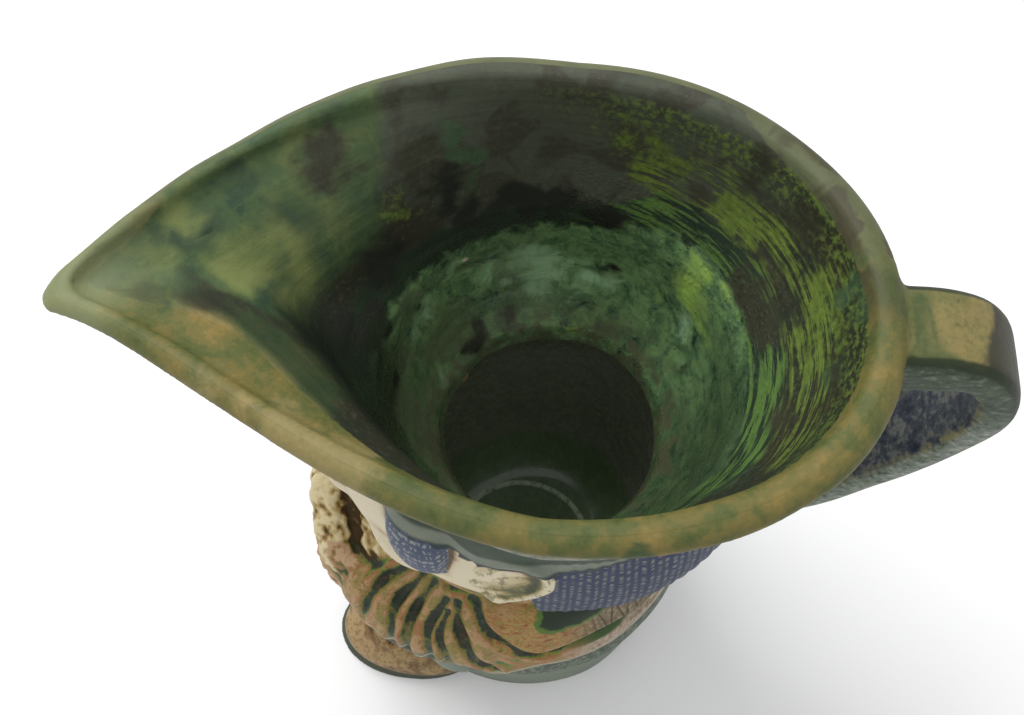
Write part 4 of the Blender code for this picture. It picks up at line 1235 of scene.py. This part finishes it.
def lip_layer(g):
    """The rolled rim: olive and tan, with green spots; greyer at the far side."""
    rim = g.blend(g.cloud, 0.45, g.mottle, 0.35, g.speck, 0.2)
    rim = rim.ramp((0.37, (0.06, 0.08, 0.024)), (0.45, (0.09, 0.102, 0.03)), (0.53, (0.14, 0.122, 0.036)),
                   (0.64, (0.21, 0.155, 0.046)))
    tan = g.speck.between((0.17, 0.15, 0.055), (0.3, 0.235, 0.1))
    rim = rim.coated(g.patch(g.pale, 0.3, 0.8, 0.9) * 0.85, tan)
    grey = g.cloud.between((0.07, 0.085, 0.046), (0.15, 0.165, 0.088))
    rim = rim.coated(g.x.step(0, -30) * 0.8, grey)
    brown = g.y.step(20, 62) * g.x.step(12, -12) * g.cloud.step(0.4, 0.52)
    rim = rim.coated(brown * 0.8, (0.05, 0.045, 0.027))
    rim = rim.coated(g.patch(g.green, 0.35, 0.8, 0.6) * 0.85, (0.035, 0.07, 0.026))
    rust = g.sunk.step(3, 6) * g.bore.step(0.5, 0.2) * g.mottle.step(0.3, 0.46)
    rim = rim.coated(rust * 0.9, AMBER)
    tip = g.cloud.between((0.15, 0.18, 0.09), (0.24, 0.27, 0.14))
    return rim.coated(g.y.step(-98, -114) * 0.75, tip)


def hat_layer(g):
    """The hat outside: its lip, a dark groove with a pale bead, then blue-black down to the head."""
    flecks = g.noise(1, 3, 0.6, stretch=(0.2, 0.2, 0.8))
    groove = g.mottle.between((0.022, 0.045, 0.035), (0.065, 0.09, 0.06))
    groove = groove.coated(flecks.step(0.56, 0.66), (0.17, 0.21, 0.13))
    hat = g.sunk.step(7, 9).between(lip_layer(g), groove)
    bead = g.mottle.step(0.4, 0.56).between((0.08, 0.1, 0.085), (0.26, 0.27, 0.2))
    hat = hat.coated(g.sunk.step(18.8, 20.3) * g.sunk.step(25.5, 24), bead)
    # A dark green band below the bead: the hat's green glaze, darkened as painted shade under the rim
    hat = hat.coated(g.sunk.step(25, 27), g.mottle.between((0.018, 0.036, 0.026), (0.07, 0.095, 0.06)))
    low = g.sunk + g.y.step(-14, -28, 0, 10)
    hat = hat.coated(low.step(43, 44.5), g.mottle.between((0.1, 0.13, 0.105), (0.25, 0.26, 0.2)))
    return hat.coated(low.step(47, 48.5), (0.03, 0.045, 0.045))


def funnel_layer(g):
    """Inside of the hat: charcoal, combed through to yellow-green in ragged patches."""
    # Paler ash towards the far wall, at −x: painted light where that wall is lit
    funnel = g.x.step(-22, -52).between(CHARCOAL, PAINTED_LIGHT_ASH)
    funnel = funnel.coated(g.cloud.step(0.48, 0.6) * 0.55, UMBER)
    funnel = funnel.coated(g.speck.step(0.52, 0.66) * 0.3, (0.1, 0.1, 0.07))
    leaf = g.speck.between((0.035, 0.055, 0.012), (0.2, 0.29, 0.05))
    brushed = g.patch(g.comb, 0.18, 0.6, 0.9) * g.streak.step(0.46, 0.55)
    funnel = funnel.coated(brushed, leaf)
    edge = g.sunk.step(2.5, 5) * g.sunk.step(18, 7) * g.y.step(-20, 30) * g.speck.step(0.44, 0.6)
    funnel = funnel.coated(edge * 0.7, leaf)
    bottle = g.speck.between((0.025, 0.05, 0.026), (0.07, 0.13, 0.06))
    funnel = funnel.coated(g.patch(g.green, 0.3, 0.8, 0.8) * 0.9, bottle)
    loose = g.patch(g.lime, 0.35, 0.85, 0.9, g.speck)
    return funnel.coated(loose * g.mottle.step(0.36, 0.56) * 0.85, leaf)


def channel_layer(g):
    """The spout: soft dark green clouds over olive, tan along the near wall."""
    veil = g.noise(11, 4, 0.5, twist=0.5)
    far = g.blend(veil, 0.6, g.mottle, 0.25, g.speck, 0.15)
    far = far.ramp((0.36, BOTTLE), (0.48, (0.055, 0.092, 0.036)), (0.64, (0.1, 0.13, 0.045)))
    far = far.coated(g.patch(g.green, 0.3, 0.95, 0.4) * 0.85, (0.03, 0.052, 0.03))
    olive = g.cloud.between((0.12, 0.17, 0.05), (0.2, 0.21, 0.07))
    far = far.coated(g.patch(g.olive, 0.25, 0.95, 0.4) * 0.9, olive)
    near = g.blend(g.cloud, 0.5, g.mottle, 0.3, g.speck, 0.2)
    near = near.ramp((0.38, (0.045, 0.075, 0.03)), (0.48, (0.1, 0.12, 0.042)), (0.62, (0.23, 0.175, 0.065)))
    near = near.coated(g.patch(g.olive, 0.25, 0.9, 0.4) * 0.8, (0.2, 0.18, 0.07))
    near = near.coated(g.sunk.step(9.5, 13) * 0.85, (0.022, 0.04, 0.018))
    channel = g.x.step(1, 9).between(far, near)
    tip = g.cloud.between((0.12, 0.15, 0.075), (0.22, 0.25, 0.13))
    return channel.coated(g.y.step(-100, -117) * 0.8, tip)


def cavity_layer(g):
    """Inside of the head: glassy greens, milky where they pooled, with brownish painted shade towards the neck
    and darker painted shade on the +x side.
    """
    pool = g.noise(8, 4, 0.6, twist=1.2)
    cavity = g.blend(pool, 0.5, g.mottle, 0.3, g.speck, 0.2)
    cavity = cavity.ramp((0.37, (0.022, 0.05, 0.032)), (0.46, SEA), (0.55, (0.16, 0.28, 0.11)),
                         (0.66, (0.24, 0.4, 0.18)))
    cavity = cavity.coated(g.patch(g.pale, 0.25, 0.9, 0.9, pool) * 0.9, MILK)
    lime = g.speck.between((0.26, 0.44, 0.08), (0.5, 0.72, 0.15))
    cavity = cavity.coated(g.patch(g.lime, 0.3, 0.9, 0.7) * 0.95, lime)
    # Darker towards +x, on the side of the hollow under the rim: painted shade
    cavity = cavity.coated(g.x.step(-30, 14) * 0.75, (0.03, 0.052, 0.024))
    tawny = g.y.step(0, -30) * g.cloud.step(0.42, 0.56)
    cavity = cavity.coated(tawny * 0.55, (0.12, 0.14, 0.075))
    # Brown mottling low in the head, towards the neck: painted shade
    low = g.z.step(150, 137) * g.mottle.step(0.42, 0.56) * 0.75
    cavity = cavity.coated(low, (0.085, 0.08, 0.045))
    return cavity.coated(g.speck.step(0.64, 0.72), (0.012, 0.03, 0.028))


def inside_layer(g):
    """The whole hollow, from the lip to the floor."""
    inside = funnel_layer(g)
    forward = g.patch(g.y.step(-40, -60), 0.3, 0.7, 0.5) * g.z.step(189, 197)
    inside = inside.coated(forward, channel_layer(g))
    shoulder = g.z + g.y.step(2, 34, 0, -11)
    dark = g.speck.between((0.012, 0.02, 0.014), (0.028, 0.048, 0.026))
    dark = dark.coated(g.y.step(-6, 26) * g.streak.step(0.46, 0.56) * 0.8, (0.1, 0.19, 0.04))
    inside = inside.coated(g.patch(shoulder.step(189, 178), 0.35, 0.65, 1.2, g.cloud), dark)
    inside = inside.coated(g.patch(shoulder.step(181, 167), 0.3, 0.7, 1.4), cavity_layer(g))
    brown = g.speck.between((0.018, 0.019, 0.011), (0.054, 0.055, 0.032))
    inside = inside.coated(g.patch(g.umber, 0.3, 0.8, 0.8), brown)
    # Near-black patches: painted shade in the hollow
    inside = inside.coated(g.patch(g.soot, 0.35, 0.8, 0.9), PAINTED_SHADE_BLACK)
    fading = g.y.step(-104, -84, 0.45, 1)
    inside = inside.coated(g.patch(g.crease, 0.2, 1, 0.8) * fading * 0.92, (0.02, 0.021, 0.015))
    # Near-black in the throat behind the spout, towards +x: painted shade
    painted_shade_throat = g.x.step(-14, 4) * g.y.step(-30, -44) * g.z.step(206, 198) * g.z.step(150, 166)
    inside = inside.coated(painted_shade_throat * 0.85, (0.01, 0.014, 0.009))
    # Neck and chamber walls in pale grey, much lighter than their dark glaze: painted light, standing in for
    # light that reaches down the neck
    inside = inside.coated(g.z.step(133, 127), g.mottle.between((0.2, 0.21, 0.165), (0.36, 0.37, 0.29)))
    inside = inside.coated(g.z.step(27, 19), g.mottle.between((0.1, 0.16, 0.08), (0.22, 0.32, 0.16)))
    # A pale ring with white glints on the chamber's floor: painted highlight, the glint of light on the
    # floor's wet edge
    across = (g.x - 1.5).math("POWER", 2.0)
    distance = (across + (g.y + 7.5).math("POWER", 2.0)).math("SQRT")
    ring = abs(distance - 27.5).step(1.5, 0.5) * g.z.step(13, 11)
    inside = inside.coated(ring * g.speck.step(0.3, 0.55) * 0.95, (0.72, 0.86, 0.62))
    crest = g.sunk - g.x.step(2, 16) * g.y.step(-16, -50) * 6
    crest += g.x.step(-4, -30) * g.y.step(62, 30) * 7
    return inside.coated(g.patch(crest.step(6, 3), 0.35, 0.65, 0.7), lip_layer(g))


def strap_layer(g):
    """Handle: olive and tan outside, dark round the bend, blue-black within, brushed green flanks."""
    strap = g.blend(g.cloud, 0.3, g.mottle, 0.4, g.speck, 0.3)
    strap = strap.ramp((0.36, (0.05, 0.07, 0.026)), (0.47, (0.12, 0.125, 0.045)), (0.6, (0.2, 0.165, 0.06)))
    tan = g.speck.between((0.15, 0.12, 0.042), (0.27, 0.22, 0.085))
    strap = strap.coated(g.patch(g.pale, 0.25, 0.8, 0.9, g.speck) * 0.9, tan)
    strap = strap.coated(g.patch(g.green, 0.3, 0.8, 1, g.speck) * 0.85, (0.05, 0.075, 0.025))
    bend = g.y + g.x * 0.25
    umber = g.mottle.between((0.022, 0.023, 0.015), (0.058, 0.054, 0.034))
    strap = strap.coated(g.patch(bend.step(98, 105), 0.3, 0.7, 1) * 0.95, umber)
    strap = strap.coated(g.z.step(170, 140), g.mottle.between((0.05, 0.07, 0.04), (0.13, 0.16, 0.11)))
    brush = g.noise(1.6, 4, 0.6, stretch=(1, 0.35, 1))
    brush = g.blend(brush, 0.55, g.speck, 0.45)
    flank = brush.ramp((0.36, (0.02, 0.032, 0.018)), (0.5, (0.05, 0.072, 0.045)), (0.66, (0.14, 0.165, 0.12)))
    pale_flank = brush.ramp((0.36, (0.045, 0.065, 0.045)), (0.5, (0.15, 0.18, 0.14)),
                            (0.66, (0.32, 0.35, 0.3)))
    flank = flank.coated(g.z.step(204, 186), pale_flank)
    within = g.blend(g.mottle, 0.5, g.speck, 0.5)
    within = within.ramp((0.38, (0.026, 0.032, 0.05)), (0.48, (0.06, 0.07, 0.085)),
                         (0.58, (0.16, 0.17, 0.155)), (0.7, (0.22, 0.21, 0.12)))
    strap = strap.coated(g.outer.step(0.5, 0.38), within)
    strap = strap.coated(g.side.step(0.5, 0.8), flank)
    corner = g.side.step(0.2, 0.42) * g.side.step(0.98, 0.8) * g.outer.step(0.4, 0.55)
    strap = strap.coated(corner * 0.92, (0.02, 0.03, 0.015))
    # A pale yellow line along the edge of the handle's hole: the glaze's yellow line, lightened as a painted
    # highlight on that edge
    lip = g.side.step(0.25, 0.5) * g.side.step(0.95, 0.75) * g.outer.step(0.5, 0.3) * g.mottle.step(0.4, 0.6)
    return strap.coated(lip * 0.8, (0.24, 0.22, 0.09))


def finish(g):
    """Satin outside, glassy in the head, matte in the hat; a little relief everywhere."""
    within = g.bore.step(0.4, 0.6)
    deep = within * g.z.step(192, 178)
    rough = g.blend(g.speck, 0.16, g.mottle, 0.14) + 0.38
    rough -= deep * 0.26
    wire(rough.math("MAXIMUM", 0.14), g.shader.inputs["Roughness"])
    wire(deep * 0.45, g.shader.inputs["Coat Weight"])
    g.shader.inputs["Coat Roughness"].default_value = 0.14
    wire(deep * 0.2 + 0.2, g.shader.inputs["Specular IOR Level"])
    height = g.blend(g.mottle, 0.35, g.speck, 0.35, g.grain, 0.1)
    height += g.streak * within * 0.4
    height += g.combed * g.hair.step(0.4, 0.6) * 0.5
    height += g.speck * g.bundle.step(0.4, 0.6) * 1.2
    height -= g.strokes * 0.8
    bump = g.tree.nodes.new("ShaderNodeBump")
    bump.inputs["Strength"].default_value = 0.55
    bump.inputs["Distance"].default_value = BUMP_DEPTH
    wire(height, bump.inputs["Height"])
    wire(Field(g.tree, bump.outputs["Normal"]), g.shader.inputs["Normal"])


def glaze_material():
    """One glazed stoneware for the whole jug, layer over layer."""
    g = Glaze("glazed_stoneware")
    cloth = g.coat.math("MAXIMUM", g.sleeve)
    whiskers = g.sideburn.math("MAXIMUM", g.brow)
    layers = ((cloth, cloth_layer), (g.leg, stocking_layer), (g.shoe, leather_layer), (g.sole, sole_layer),
              (g.bundle, parcel_layer), (g.hand, palm_layer), (g.skin, flesh_layer), (g.ear, lobe_layer),
              (whiskers, whisker_layer), (g.hair, locks_layer), (g.hat, hat_layer),
              (g.handle, strap_layer), (g.bore, inside_layer))
    colour = body_layer(g)
    for form, layer in layers:
        colour = colour.coated(g.patch(form, 0.42, 0.58, 0.12, g.speck), layer(g))
    wire(colour, g.shader.inputs["Base Color"])
    finish(g)
    return g.material


def make_jug():
    meshes = form_meshes()
    jug = new_object("character_jug", joined(meshes, [name for name in FORMS if name != "bore"]))
    remesh(jug, OUTER_VOXEL, 1)
    cut(jug, "bore", meshes["bore"], "DIFFERENCE")
    remesh(jug, FINE_VOXEL, 2)
    largest_part(jug)
    carve(jug, meshes["bore"])
    thin = jug.modifiers.new("thin", "DECIMATE")
    thin.ratio = min(1, MOST_TRIANGLES / (2 * len(jug.data.polygons)))
    applied(jug)
    cut(jug, "slab", slab_mesh(), "DIFFERENCE")
    paint_fields(jug, meshes)
    jug.data.transform(Matrix.Scale(UNIT, 4))
    jug.data.shade_smooth()
    jug.data.materials.clear()
    jug.data.materials.append(glaze_material())
    return jug


# Camera, fitted to the photograph: degrees, metres, pixels
CAMERA_AZIMUTH = 95
CAMERA_ELEVATION = 64
CAMERA_PLACE = (0.1295, -0.0001, 0.4486)
FOCAL_LENGTH = 1100
IMAGE_WIDTH = 1024
SENSOR_WIDTH = 36


def make_stage():
    bpy.ops.mesh.primitive_plane_add(size=8, location=(0, 0, 0))
    floor = bpy.context.object
    floor.name = "floor"
    paper = bpy.data.materials.new("pale_floor")
    paper.use_nodes = True
    shader = paper.node_tree.nodes["Principled BSDF"]
    shader.inputs["Base Color"].default_value = (0.9, 0.9, 0.91, 1)
    shader.inputs["Roughness"].default_value = 0.9
    floor.data.materials.append(paper)


def add_light(name, place, size, power, target=(0, 0, 0.12)):
    light = bpy.data.lights.new(name, "AREA")
    light.energy = power
    light.size = size
    holder = bpy.data.objects.new(name, light)
    bpy.context.scene.collection.objects.link(holder)
    holder.location = place
    holder.rotation_euler = (Vector(target) - Vector(place)).to_track_quat("-Z", "Y").to_euler()


def make_lights():
    world = bpy.data.worlds.new("studio")
    bpy.context.scene.world = world
    world.use_nodes = True
    background = world.node_tree.nodes["Background"]
    background.inputs["Color"].default_value = (1, 1, 1, 1)
    background.inputs["Strength"].default_value = 0.8
    add_light("overhead", place=(-0.5, -0.5, 1.3), size=0.8, power=14)


def make_camera():
    """The photograph looks down on the hat from the figure's left side."""
    azimuth = math.radians(CAMERA_AZIMUTH)
    elevation = math.radians(CAMERA_ELEVATION)
    back = Vector((math.sin(azimuth) * math.cos(elevation), -math.cos(azimuth) * math.cos(elevation),
                   math.sin(elevation)))
    data = bpy.data.cameras.new("camera")
    data.sensor_width = SENSOR_WIDTH
    data.lens = FOCAL_LENGTH / IMAGE_WIDTH * SENSOR_WIDTH
    data.clip_start = 0.01
    camera = bpy.data.objects.new("camera", data)
    bpy.context.scene.collection.objects.link(camera)
    camera.location = CAMERA_PLACE
    camera.rotation_euler = (-back).to_track_quat("-Z", "Y").to_euler()
    bpy.context.scene.camera = camera


jug = make_jug()
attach(jug, "root")
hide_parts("jug")
make_stage()
make_lights()
make_camera()
bpy.context.scene.view_settings.view_transform = "Standard"
